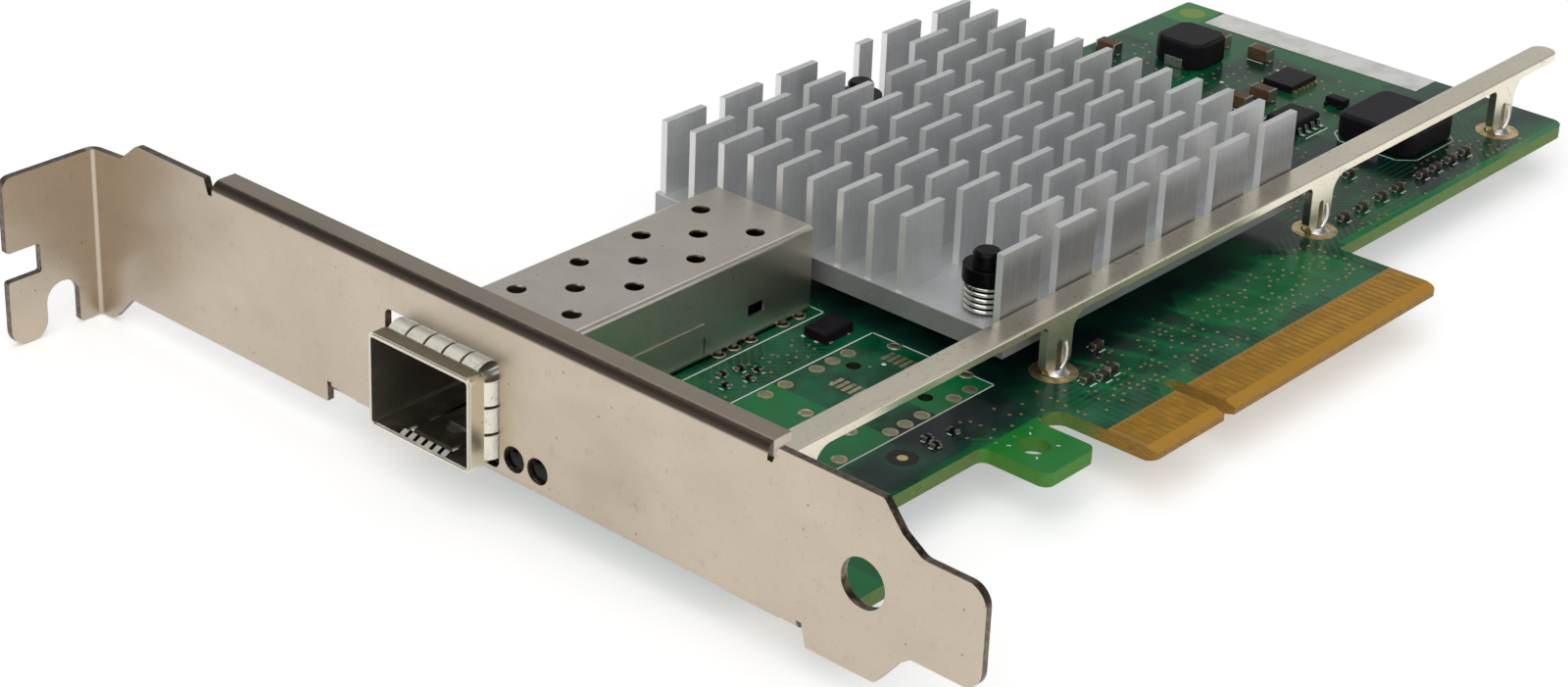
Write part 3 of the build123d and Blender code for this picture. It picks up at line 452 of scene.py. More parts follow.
def islands(node):
    """Lowest and highest corner of each separate solid of a CAD node."""
    work = welded(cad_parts[node].data)
    seen = set()
    boxes = []
    for start in work.verts:
        if start in seen:
            continue
        seen.add(start)
        group, todo = [], [start]
        while todo:
            vertex = todo.pop()
            group.append(vertex.co.copy())
            for edge in vertex.link_edges:
                other = edge.other_vert(vertex)
                if other not in seen:
                    seen.add(other)
                    todo.append(other)
        boxes.append(tuple(Vector(end(co[i] for co in group) for i in range(3)) for end in (min, max)))
    work.free()
    return boxes


def chip_parts():
    """Corners of each small part on the component side."""
    return [(low, high) for node in CHIP_PARTS for low, high in islands(node) if high.z >= 0]


def middles(boxes):
    return [(low + high) / 2 for low, high in boxes]


def strips(name, lines, width, height):
    """Mesh of thin flat bars along (x0, y0, x1, y1) lines, in millimetres."""
    work = bmesh.new()
    for x0, y0, x1, y1 in lines:
        start, end = Vector((x0, y0, 0)), Vector((x1, y1, 0))
        middle = (start + end) / 2 + Vector((0, 0, height / 2))
        turn = Matrix.Rotation(math.atan2(y1 - y0, x1 - x0), 4, "Z")
        size = Matrix.Diagonal(((end - start).length + width, width, height, 1))
        bmesh.ops.create_cube(work, size=1.0, matrix=Matrix.Scale(MM, 4) @ Matrix.Translation(middle) @ turn @ size)
    return mesh_of(work, name)


# Finishes

# Rectangles of the board as x0, x1, y0, y1, in millimetres
ROUTED = [(-24, 84, 9.2, 20.0), (40.8, 84, 20.0, 67.0), (-57, -13, 36.0, 42.4), (-57, -36, 57.5, 67.0),
          (-24, -12, 36.0, 67.0)]
POURED = [(-58, -29.0, 19.7, 35.4), (-22.3, -13.3, 19.7, 25.4), (-58, -50, 2.0, 12.5), (41.0, 90.5, 11.0, 13.5)]
# Rectangles painted darker as shade and reflection, near the bar, the near pads and the heat sink
SHADE_ZONES = [(-56, -25.6, 12.8, 18.6), (62, 84, 18, 32), (-16, 41, 17.0, 23.0), (42, 90, 14.2, 18.4),
        (-28, -12, 13.2, 20.4), (-13, 42, 20.0, 68.0), (42, 62, 18.0, 68.0), (62, 82, 33, 52)]
FINGER_ROOTS = (-12.2, 39.2, 6.0, 9.6)
WIDE_TRACKS = (-10, 40, 9.5, 17.5)
HOOK = (-26, -15.4, 2.0, 12.4)
HOOK_EDGE = (-26.5, -15.0, 2.0, 12.4)
FAR_CORNER = (83.5, 90.5, 62.6, 68.0)
# Board painted near-black as shade under the port cage and behind the lamp holes
SHADE_UNDER_CAGE = (-58.5, -14.6, 43.5, 57.1)
SHADE_BEHIND_LAMPS = (-58.5, -50.6, 35.0, 44.0)
# Cut edges near the port painted dark as shade
PORT_EDGE_SHADE = (-50.0, -12.0, 19.0, 45.0)
# Middles of the round marks, lowest and highest y of the near end painted near-black as shade, and the share of a
# slanting direction
FAR_MARK, NEAR_MARK = (87.05, 65.14), (-31.35, 16.55)
NEAR_END_SHADE = (34.6, 57.2)
SLANTED = 0.7071


def board_finish(colours):
    """Glossy green solder mask with copper under it, raw laminate at the edge, olive between the fingers, and painted
    shade under the bar, the heat sink and the cage.
    """
    finish = Finish("solder_mask_board", colours.mask, 0.22, Coat_Weight=0.1, Coat_Roughness=0.12,
                    Specular_IOR_Level=0.3)
    x, y, z, pour = finish.x, finish.y, finish.z, colours.pour
    board_near_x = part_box("circuit_board")[0].x / MM
    front = z.above(-0.3)
    fingers_x = x.rise(-13.5, -13.0) * x.rise(40.2, 39.8)

    # Traces run one way in each random block
    block = finish.cells(0.085, "CHEBYCHEV", (1.0, 1.0, 0.0))
    direction, kept, tint = finish.parts(block.output("Color"))
    level, rising = direction.below(0.36), direction.above(0.68)
    across = level * y + rising * ((x + y) * SLANTED) + (1 - level - rising) * ((x - y) * SLANTED)
    traces = finish.stripe(across, 0.8, 0.3, 0.5) * (finish.inside(*ROUTED, soft=0.6) * front + (1 - front) * 0.8)
    traces = traces * kept.rise(0.45, 0.5)
    traces = traces.largest(finish.stripe(x, 1.0, 0.3, 0.5) * finish.inside(FINGER_ROOTS, soft=0.3))

    clouds = finish.noise(0.2, 4.0, roughness=0.6)
    patches = finish.noise(0.09, 3.0)
    # Painted shade: the board darkened under and behind the stiffener bar, and past the heat sink's far end
    painted_bar_shade = y.rise(12.6, 16.6) * y.rise(24.0, 20.0) * x.above(-30)
    painted_bar_shade = painted_bar_shade.largest(x.rise(41.0, 44.0) * y.above(13.6) * 0.6)
    finish.shade(clouds.rise(0.36, 0.66), colours.mask, 0.6, 1.3)
    finish.over(painted_bar_shade * (0.35 + patches.rise(0.3, 0.55) * 0.5), paint(7, 22, 20))
    finish.over(tint.above(0.58) * 0.6, scaled(pour, 0.85))
    # Painted shade and reflection over the shade zones
    finish.over(finish.inside(*SHADE_ZONES, soft=1.2) * (patches.rise(0.35, 0.6) * 0.5 + 0.3), paint(15, 27, 34))
    finish.over(finish.inside(*POURED, soft=0.1), finish.mix(clouds.rise(0.3, 0.7), scaled(pour, 0.85), pour))
    finish.over(traces * 0.3, scaled(pour, 1.1))
    finish.over(finish.inside(HOOK), paint(22, 122, 44))
    # Painted shade under the cage and behind the lamp holes, then the lighter far corner
    for zone, tone in ((SHADE_UNDER_CAGE, paint(12, 20, 17)), (SHADE_BEHIND_LAMPS, paint(10, 14, 12)),
                       (FAR_CORNER, paint(34, 130, 46))):
        finish.over(finish.inside(zone) * front, tone)
    wide_tracks = finish.stripe(x + y * 0.3, 4.2, 0.9, 1.0) * finish.inside(WIDE_TRACKS, soft=1.5)
    finish.over(wide_tracks * front * 0.35, scaled(pour, 1.25))

    # Round marks for the placing machine
    finish.over(finish.disc(FAR_MARK, 1.7) * front, paint(120, 142, 40))
    finish.over(finish.disc(NEAR_MARK, 2.6, 1.0) * front * 0.6, scaled(colours.mask, 0.9))
    finish.over(finish.disc(NEAR_MARK, 1.6) * front, paint(8, 5, 4))
    finish.over(finish.disc(NEAR_MARK, 0.55) * front, paint(216, 190, 130))

    weave = finish.stripe(x, 0.9, 0.3, 0.8) * finish.stripe(y, 0.9, 0.3, 0.8)
    olive = finish.mix(weave * 0.25 + clouds * 0.3, paint(150, 112, 42), paint(168, 128, 52))
    olive = finish.mix(y.rise(1.36, 1.3), olive, paint(176, 130, 46))
    finish.over(y.rise(6.05, 5.95) * fingers_x, olive)

    # Cut edge of the laminate
    edge = z.below(-0.02) * z.above(-1.55) * abs(finish.facing_z).below(0.5)
    fibres = finish.noise(1.2, 3.0, (1.0, 1.0, 9.0))
    strands = fibres.rise(0.35, 0.7)
    raw = finish.mix(strands, paint(82, 118, 50), paint(118, 140, 68))
    raw = finish.mix(finish.stripe(z, 0.27, 0.07, 0.5) * 0.45, raw, paint(70, 88, 38))
    raw_fingers = finish.mix(strands, paint(132, 96, 34), paint(176, 134, 52))
    raw = finish.mix(y.rise(9.0, 5.5) * fingers_x, raw, raw_fingers)
    raw = finish.mix(finish.inside(HOOK_EDGE) * 0.7, raw, paint(58, 138, 42))
    # Painted shade on the cut edges near the port
    raw = finish.mix(finish.inside(PORT_EDGE_SHADE), raw, paint(30, 36, 18))
    finish.over(edge, raw)
    # Painted shade: the board's near end behind the bracket and the cage made near-black
    shaded_near_end = x.below(board_near_x + 0.15) * z.below(0.01)
    finish.over(shaded_near_end * y.above(NEAR_END_SHADE[0]) * y.below(NEAR_END_SHADE[1]), paint(9, 10, 10))

    grain = finish.noise(1.1)
    return finish.close(grain.rise(0.3, 0.8) * 0.10 + 0.17 + edge * 0.4,
                        traces * 0.2 + grain * 0.15 + edge * fibres * 0.5, 0.02, 0.6)


def gold_finish(colours, name="gold_fingers"):
    """Thin hard gold with fine wiping lines."""
    finish = Finish(name, colours.gold, 0.34, 1.0)
    wipe = finish.noise(2.2, 3.0, (3.0, 0.25, 1.0))
    finish.shade(finish.noise(0.5, 3.0).rise(0.35, 0.7), colours.gold, 0.82, 1.1)
    return finish.close(wipe * 0.18 + 0.26, wipe, 0.004)


def plated_finish(name, colour, dark, roughness=0.34, smudge=0.06, sheet_x=None, grime=0.22):
    """Plated steel with faint smudges, rolling lines and short scratches."""
    finish = Finish(name, colour, roughness, 1.0)
    patches = finish.noise(0.55, 5.0, roughness=0.65)
    finish.shade(finish.noise(0.06, 4.0, roughness=0.6).rise(0.3, 0.7), colour, 1.0 - smudge, 1.0 + smudge)
    finish.over(patches.rise(0.58, 0.78) * grime, dark)
    pits = finish.noise(1.9, 4.0, roughness=0.7)
    finish.over(pits.rise(0.6, 0.72) * grime * 1.2, scaled(dark, 0.6))
    lines = finish.noise(1.4, 3.0, (0.6, 0.05, 4.0))
    scratch = finish.noise(0.9, 6.0, (1.0, 0.35, 5.0), 1.2).rise(0.69, 0.74)
    finish.over(scratch * 0.35, scaled(colour, 1.25))
    if sheet_x is not None:
        darken_sheet(finish, dark, sheet_x)
    finish.over(finish.cells(0.42).below(0.055) * 0.5, scaled(dark, 0.5))
    return finish.close(lines * 0.12 + patches * 0.08 + (roughness - 0.09),
                        lines * 0.5 + patches * 0.4 + scratch, 0.006)


def darken_sheet(finish, dark, sheet_x):
    """Darkens the cut edges and the touched places of a sheet whose outer face is at sheet_x, paints a dark
    reflection along its bends and paints its top faces darker as reflection.
    """
    x, facing_z = finish.x, finish.facing_z
    cut = x.rise(sheet_x + 0.06, sheet_x + 0.14) * abs(finish.facing_x).rise(0.5, 0.3)
    cut = cut * x.rise(sheet_x + 0.84, sheet_x + 0.78)
    tab_cut = x.rise(sheet_x - 0.6, sheet_x - 0.8) * abs(finish.facing_y).rise(0.5, 0.3)
    # Painted reflection: a dark band along the bends
    bend_reflection = facing_z.rise(0.06, 0.35) * facing_z.rise(0.995, 0.93) * x.above(sheet_x - 0.05)
    finish.over(bend_reflection * 0.88, paint(52, 40, 34))
    # Painted reflection: the top faces darker
    finish.over(facing_z.rise(0.9, 0.99) * 0.42, dark)
    touched = finish.noise(0.05, 2.0, (1.0, 1.0, 2.0)).rise(0.5, 0.72)
    finish.over(touched * 0.14, scaled(dark, 0.9))
    burr = finish.noise(1.6, 4.0).rise(0.35, 0.6)
    finish.over(cut.largest(tab_cut) * 0.85, finish.mix(burr, dark, scaled(dark, 0.3)))


def anodised_finish(colour):
    """Matte bright aluminium with a faint extruded grain, painted shade on the base's sides and the outer row of
    fins, and painted highlights on the fins' faces toward the bracket.
    """
    finish = Finish("anodised_aluminium", colour, 0.32, 0.6)
    z, on_fins = finish.z, finish.z.rise(5.2, 5.4)
    grain = finish.noise(2.0, 3.0, (0.15, 2.5, 2.5))
    finish.shade(finish.noise(0.12, 3.0).rise(0.35, 0.7), colour, 0.9, 1.06)
    finish.over(finish.noise(4.5, 3.0).rise(0.5, 0.7) * 0.28, scaled(colour, 0.55))
    # Painted shade: the base's sides under the fins darker
    base_side_shade = z.rise(5.3, 5.1) * abs(finish.facing_z).rise(0.6, 0.4)
    finish.over(base_side_shade * 0.6, scaled(colour, 0.3))
    # Painted reflection of the dark bar and board on the outer row of fins, strongest at mid height
    outer_row = finish.y.rise(21.3, 21.0) * on_fins * (finish.facing_y * -1).rise(0.5, 0.8)
    reflection_band = z.rise(6.0, 9.5) * z.rise(14.5, 11.5) * 0.35 + 0.52
    finish.over(outer_row * reflection_band, scaled(colour, 0.2))
    brushed = finish.noise(1.6, 3.0, (3.0, 3.0, 0.12))
    finish.over(brushed.rise(0.5, 0.7) * 0.22, scaled(colour, 0.62))
    # Painted highlight: the fins' faces toward the bracket made near-white
    finish.over((finish.facing_x * -1).rise(0.4, 0.9) * on_fins * 0.8, paint(250, 250, 250))
    scuff = finish.noise(0.7, 6.0, distortion=1.5).rise(0.68, 0.73) * z.rise(5.7, 5.2)
    finish.over(scuff * 0.5, paint(235, 236, 238))
    return finish.close(grain * 0.12 + 0.34, grain + scuff, 0.005)


def moulded_finish(name, colour, roughness=0.5, grain=3.0, depth=0.012):
    """Moulded plastic or ceramic with a fine spark-eroded grain."""
    finish = Finish(name, colour, roughness, Specular_IOR_Level=0.12)
    fine = finish.noise(grain, 3.0)
    finish.shade(finish.noise(0.4, 3.0).rise(0.3, 0.75), colour, 0.8, 1.3)
    return finish.close(fine * 0.16 + (roughness - 0.08), fine, depth)


def solder_finish(name, colour, roughness=0.24):
    """Tinned metal with the soft ripples of cooled solder."""
    finish = Finish(name, colour, roughness, 1.0)
    ripple = finish.noise(1.6, 3.0, distortion=0.6)
    flux = finish.noise(0.8, 4.0).rise(0.55, 0.8)
    finish.shade(flux * 0.4, colour, 1.0, 0.55)
    return finish.close(ripple * 0.16 + (roughness - 0.06), ripple, 0.02)


def collar_finish(mouth_x):
    """Bright spring steel: pale fingers behind a band whose upward faces are painted darker as reflection."""
    finish = Finish("collar_plating", paint(226, 222, 208), 0.32, 1.0)
    fingers = finish.x.rise(mouth_x + 1.8, mouth_x + 1.95)
    smudge = finish.noise(1.1, 5.0, roughness=0.65)
    pale = finish.mix(smudge.rise(0.5, 0.75), paint(240, 238, 224), paint(196, 190, 172))
    # Painted reflection: the band's upward faces darker than its sides
    finish.tone = finish.mix(finish.facing_z.rise(0.3, 0.8) * 0.8, paint(236, 232, 214), paint(150, 144, 126))
    finish.over(fingers, pale)
    worn = finish.noise(2.4, 5.0).rise(0.66, 0.74)
    finish.over(worn * 0.5, paint(84, 78, 68))
    finish.set("Metallic", 1 - fingers * 0.75)
    return finish.close(smudge * 0.2 + 0.22, smudge + worn, 0.008)


def floor_plate_finish(colour, mouth_x, port_y):
    """Cage plate, in a colour that the caller darkens as painted shade, whose front edge carries a row of pale spring
    steps with painted shade in the gaps between them.
    """
    finish = Finish("cage_floor_plating", colour, 0.34, 1.0)
    clouds = finish.noise(0.5, 4.0)
    finish.shade(clouds.rise(0.35, 0.7), colour, 0.8, 1.15)
    steps = finish.inside((mouth_x + 0.25, mouth_x + 1.35, port_y - 3.4, port_y + 3.4), soft=0.05)
    # Painted shade in the gaps between the spring steps
    shaded_gaps = finish.stripe(finish.y - finish.x * 0.4, 1.15, 0.42, 0.3)
    finish.over(steps, finish.mix(shaded_gaps, paint(236, 232, 216), paint(40, 34, 32)))
    pale = steps * (1 - shaded_gaps)
    finish.set("Metallic", 1 - pale * 0.9)
    return finish.close(clouds * 0.15 + 0.28, pale, 0.08)


def pad_finish(name, colour):
    """Tan tinned copper, dull where the flux dried."""
    finish = Finish(name, colour, 0.36, 0.9)
    stain = finish.noise(1.3, 4.0)
    finish.shade(stain.rise(0.4, 0.7), colour, 1.12, 0.62)
    return finish.close(stain * 0.3 + 0.22, stain, 0.01)


def ferrite_finish(name, colour):
    """Pressed powder with sparse glints."""
    finish = Finish(name, colour, 0.46, Specular_IOR_Level=0.14)
    powder = finish.noise(5.0, 3.0)
    finish.shade(powder.rise(0.4, 0.7), colour, 0.7, 1.5)
    finish.over(finish.cells(5.0).below(0.12) * 0.22, paint(96, 94, 100))
    return finish.close(powder * 0.25 + 0.34, powder, 0.025)


def ink_finish(colours):
    """White screen print, slightly worn."""
    finish = Finish("white_markings", colours.marking, 0.5)
    wear = finish.noise(2.5, 4.0).rise(0.62, 0.75)
    finish.tone = finish.mix(wear * 0.35, colours.marking, scaled(colours.mask, 2.0))
    return finish.close(relief=wear, depth=0.004)


def label_finish():
    """Plain paper label with soft fibres."""
    finish = Finish("plain_label", paint(216, 217, 212), 0.55)
    soil = finish.noise(0.3, 3.0)
    finish.tone = finish.mix(soil.rise(0.4, 0.8), paint(226, 227, 223), paint(200, 200, 194))
    return finish.close(relief=finish.noise(3.0, 4.0), depth=0.008)


def lens_finish():
    """Clear moulded light pipe with a cloudy inside."""
    finish = Finish("light_pipe", paint(52, 50, 46), 0.14, Coat_Weight=0.6, Coat_Roughness=0.05)
    cloud = finish.noise(0.9)
    finish.tone = finish.mix(cloud, paint(34, 32, 30), paint(70, 68, 62))
    return finish.close(cloud * 0.12 + 0.1)


def hole_shade_finish(name, colour):
    """Dark colour painted as the shade inside a plated hole."""
    finish = Finish(name, colour, 0.6)
    finish.shade(finish.noise(2.0), colour, 0.6, 1.4)
    return finish.close()


# Settings


def metres(name, description, default, low=0.0, high=0.1):
    return bpy.props.FloatProperty(name=name, description=description, default=default * MM,
                                   min=low, max=high, unit="LENGTH", precision=5)


def colour_of(name, description, default):
    return bpy.props.FloatVectorProperty(name=name, description=description, default=default,
                                         size=4, min=0.0, max=1.0, subtype="COLOR")


class CardSizes(bpy.types.PropertyGroup):
    """Sizes of what is added to the solids, and places that the finishes follow."""

    sheet_round: metres("Sheet edge rounding", "Radius on the edges of the stamped sheet parts", 0.1)
    thin_round: metres("Thin sheet rounding", "Radius on the edges of the cage and its collar", 0.045)
    fin_round: metres("Fin rounding", "Radius on the fins' edges and at their feet", 0.08)
    part_round: metres("Package rounding", "Radius on the edges of the moulded packages", 0.06)
    fin_length: metres("Fin length", "Length of each fin along the card", 6.25)
    fin_thickness: metres("Fin thickness", "Thickness of each fin", 0.85)
    via_outer: metres("Via ring", "Radius of the ring of a small via", 0.2)
    via_inner: metres("Via hole", "Radius of the hole of a small via", 0.09)
    line_width: metres("Marking width", "Width of the white outlines", 0.17)
    wire: metres("Spring wire", "Diameter of the spring wire", 0.45)
    spring_turns: bpy.props.FloatProperty(name="Spring turns", description="Number of turns of each spring",
                                          default=4.5, min=1.0, max=12.0)
    via_seed: bpy.props.IntProperty(name="Via seed", description="Seed of the random places of the vias", default=7)
    bracket_face: metres("Bracket face", "Place of the bracket's outer face", -60.3, low=-0.1)
    cage_mouth: metres("Cage mouth", "Place of the mouth of the port cage", -63.35, low=-0.1)


class CardColours(bpy.types.PropertyGroup):
    """Colours of the main finishes."""

    mask: colour_of("Solder mask", "Green of the solder mask over bare laminate", paint(12, 82, 54))
    pour: colour_of("Copper pour", "Green of the solder mask over copper", paint(14, 116, 62))
    gold: colour_of("Gold", "Colour of the edge contacts", paint(208, 158, 52))
    plating: colour_of("Bracket plating", "Colour of the bracket", paint(194, 181, 164))
    tin: colour_of("Bar plating", "Colour of the stiffener bar", paint(240, 232, 212))
    cage: colour_of("Cage plating", "Colour of the port cage", paint(208, 202, 190))
    aluminium: colour_of("Aluminium", "Colour of the heat sink", paint(218, 219, 220))
    marking: colour_of("Markings", "Colour of the white outlines", paint(214, 222, 214))
    solder: colour_of("Solder", "Colour of the solder joints", paint(205, 203, 198))


def card(context):
    """The sizes and colours in use."""
    return context.scene.network_card_sizes, context.scene.network_card_colours


# Plain lengths in the operators are in millimetres, apart from the stage's floor and lamps


class NETWORK_CARD_OT_board(bpy.types.Operator):
    """Finish the circuit board, its fingers and its pads"""

    bl_idname = "network_card.board"
    bl_label = "Circuit Board"

    label_round = 0.02

    def execute(self, context):
        colours = card(context)[1]
        dress(board_finish(colours), "circuit_board")
        dress(gold_finish(colours), "edge_contacts_front", "edge_contacts_back")
        dress(pad_finish("tinned_pads", paint(196, 184, 148)), "port_pads")
        dress(pad_finish("regulator_lead_tin", paint(206, 184, 140)), "regulator_pads")
        dress(pad_finish("stiffener_ring_copper", paint(218, 194, 144)), "stiffener_pads")
        softened("label", self.label_round * MM, label_finish(), segments=1)
        return {"FINISHED"}


class NETWORK_CARD_OT_vias(bpy.types.Operator):
    """Put the small plated holes on both sides of the board"""

    bl_idname = "network_card.vias"
    bl_label = "Vias"

    # x0, x1, y0, y1 and spacing of each field
    fields = [
        (-35.0, -18.5, 36.4, 41.6, 1.4),
        (-12.0, 39.0, 7.6, 16.2, 1.2),
        (-24.5, -13.0, 11.0, 18.6, 1.6),
        (42.0, 82.5, 13.2, 20.0, 1.5),
        (42.0, 62.0, 20.0, 66.0, 1.7),
        (62.0, 83.0, 31.0, 66.5, 1.8),
        (-50.0, -38.0, 13.5, 41.0, 2.6),
        (-28.0, -14.0, 26.0, 35.0, 3.2),
        (-56.0, -38.0, 58.0, 67.0, 2.4),
    ]
    skipped = 0.38
    tidy_rows = [(10.5, 16.9), (10.3, 15.8), (17.8, 16.2), (26.7, 14.8), (30.5, 13.8), (35.4, 13.1), (12.0, 7.3),
                 (13.9, 7.3), (46.2, 13.6), (47.9, 13.6), (49.6, 13.6), (51.3, 13.6)]
    clear_nodes = CHIP_PARTS + ("stiffener_pads", "port_pads", "oscillator", "square_inductor", "wide_inductor",
                                "soic_chip", "soic_leads", "regulator_chip", "transistor", "label", "bracket_screws")
    # The hole in the hook and the dark round mark
    clear_places = [((-22.2, 7.2, 0), (-18.4, 11.0, 0)), ((-33.0, 14.9, 0), (-29.7, 18.2, 0))]
    clearance = 0.5
    ring_height, bore_height = 0.012, 0.006

    def places(self, seed, blocked):
        dice = random.Random(seed)
        found = list(self.tidy_rows)
        gap = self.clearance
        for x0, x1, y0, y1, step in self.fields:
            for column in range(int((x1 - x0) / step)):
                for row in range(int((y1 - y0) / step)):
                    x = x0 + (column + 0.2 + 0.6 * dice.random()) * step
                    y = y0 + (row + 0.2 + 0.6 * dice.random()) * step
                    if dice.random() < self.skipped:
                        continue
                    if not any(low.x / MM - gap < x < high.x / MM + gap and low.y / MM - gap < y < high.y / MM + gap
                               for low, high in blocked):
                        found.append((x, y))
        return found

    def execute(self, context):
        sizes = card(context)[0]
        blocked = [(Vector(low) * MM, Vector(high) * MM) for low, high in self.clear_places]
        for node in self.clear_nodes:
            blocked += islands(node)
        places = self.places(sizes.via_seed, blocked)
        copper = pad_finish("via_copper", paint(192, 168, 116))
        bore = hole_shade_finish("via_bore", paint(24, 40, 26))
        for side, z, turn in (("front", 0.0, 0.0), ("back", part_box("circuit_board")[0].z, math.pi)):
            via = Pattern("via_" + side, outer=sizes.via_outer, inner=sizes.via_inner,
                          height=self.ring_height * MM, sides=10)
            # A dark disc painted as the shade inside each hole
            disc = via.add("GeometryNodeMeshCircle", {"fill_type": "NGON"},
                           {"Vertices": "sides", "Radius": via.size("inner") * 1.02})
            disc = via.shift(disc, z=self.bore_height * MM)
            shape = via.join(via.coloured(via.ring(), copper), via.coloured(disc, bore))
            turned = via.add("GeometryNodeTransform", None, {"Geometry": shape, "Rotation": (turn, 0.0, 0.0)})
            via.finish(via.on_places(turned))
            via.put("vias_" + side, flat(places, z), "port_pads")
        return {"FINISHED"}


class NETWORK_CARD_OT_markings(bpy.types.Operator):
    """Print the plain white outlines and dots on the board"""

    bl_idname = "network_card.markings"
    bl_label = "Markings"

    port_outlines = [
        (-44.0, 42.15, -13.3, 42.15), (-44.0, 58.45, -13.3, 58.45),
        (-44.0, 35.55, -13.2, 35.55), (-13.2, 35.55, -13.2, 19.55), (-13.2, 19.55, -44.0, 19.55),
    ]
    # The outline behind the cage runs on past the cage's far side by the gap
    behind_cage, cage_gap = (-13.3, 42.15, -13.3), 1.15
    inductor_gap, inductor_cut = 0.55, 1.8
    part_gap, part_cut = 0.4, 0.5
    hook_hole = (-20.35, 9.1)
    tick_from, tick_length = 2.3, 0.25
    dots = [(-18.9, 40.1), (-18.9, 38.3), (-24.6, 31.2), (-17.8, 30.2), (66.4, 38.6), (70.2, 49.0), (78.6, 46.2)]
    dot_radius, ink_height = 0.27, 0.016

    def around(self, low, high, gap):
        """x0, y0, x1 and y1 of the rectangle round a part."""
        return low.x / MM - gap, low.y / MM - gap, high.x / MM + gap, high.y / MM + gap

    def execute(self, context):
        sizes, colours = card(context)
        lines = list(self.port_outlines)
        lines.insert(1, self.behind_cage + (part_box("port_cage")[1].y / MM + self.cage_gap,))
        x0, y0, x1, y1 = self.around(*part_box("wide_inductor"), self.inductor_gap)
        cut = self.inductor_cut
        corners = [(x0 + cut, y0), (x1 - cut, y0), (x1, y0 + cut), (x1, y1 - cut),
                   (x1 - cut, y1), (x0 + cut, y1), (x0, y1 - cut), (x0, y0 + cut)]
        lines += [start + end for start, end in zip(corners, corners[1:] + corners[:1])]
        gap, cut = self.part_gap, self.part_cut
        x0, y0, x1, y1 = self.around(*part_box("soic_leads"), gap)
        lines += [(x0 + gap, y, x1 - gap, y) for y in (y0, y1)]
        for low, high in chip_parts():
            x0, y0, x1, y1 = self.around(low, high, gap)
            if x1 - x0 > y1 - y0:
                lines += [(x0 + cut, y, x1 - cut, y) for y in (y0, y1)]
            else:
                lines += [(x, y0 + cut, x, y1 - cut) for x in (x0, x1)]
        for turn in range(4):
            angle = math.radians(45 + 90 * turn)
            along_x, along_y = math.cos(angle), math.sin(angle)
            x, y = self.hook_hole[0] + self.tick_from * along_x, self.hook_hole[1] + self.tick_from * along_y
            lines.append((x, y, x + self.tick_length * along_x, y + self.tick_length * along_y))
        ink = ink_finish(colours)
        mesh = strips("board_outlines", lines, sizes.line_width / MM, self.ink_height)
        place_piece("board_outlines", mesh, "label", material=ink)
        dots = Pattern("marking_dot", radius=self.dot_radius * MM, height=self.ink_height * MM, sides=12)
        dots.finish(dots.on_places(dots.cone("radius", "radius")), ink)
        dots.put("marking_dots", flat(self.dots), "label")
        return {"FINISHED"}


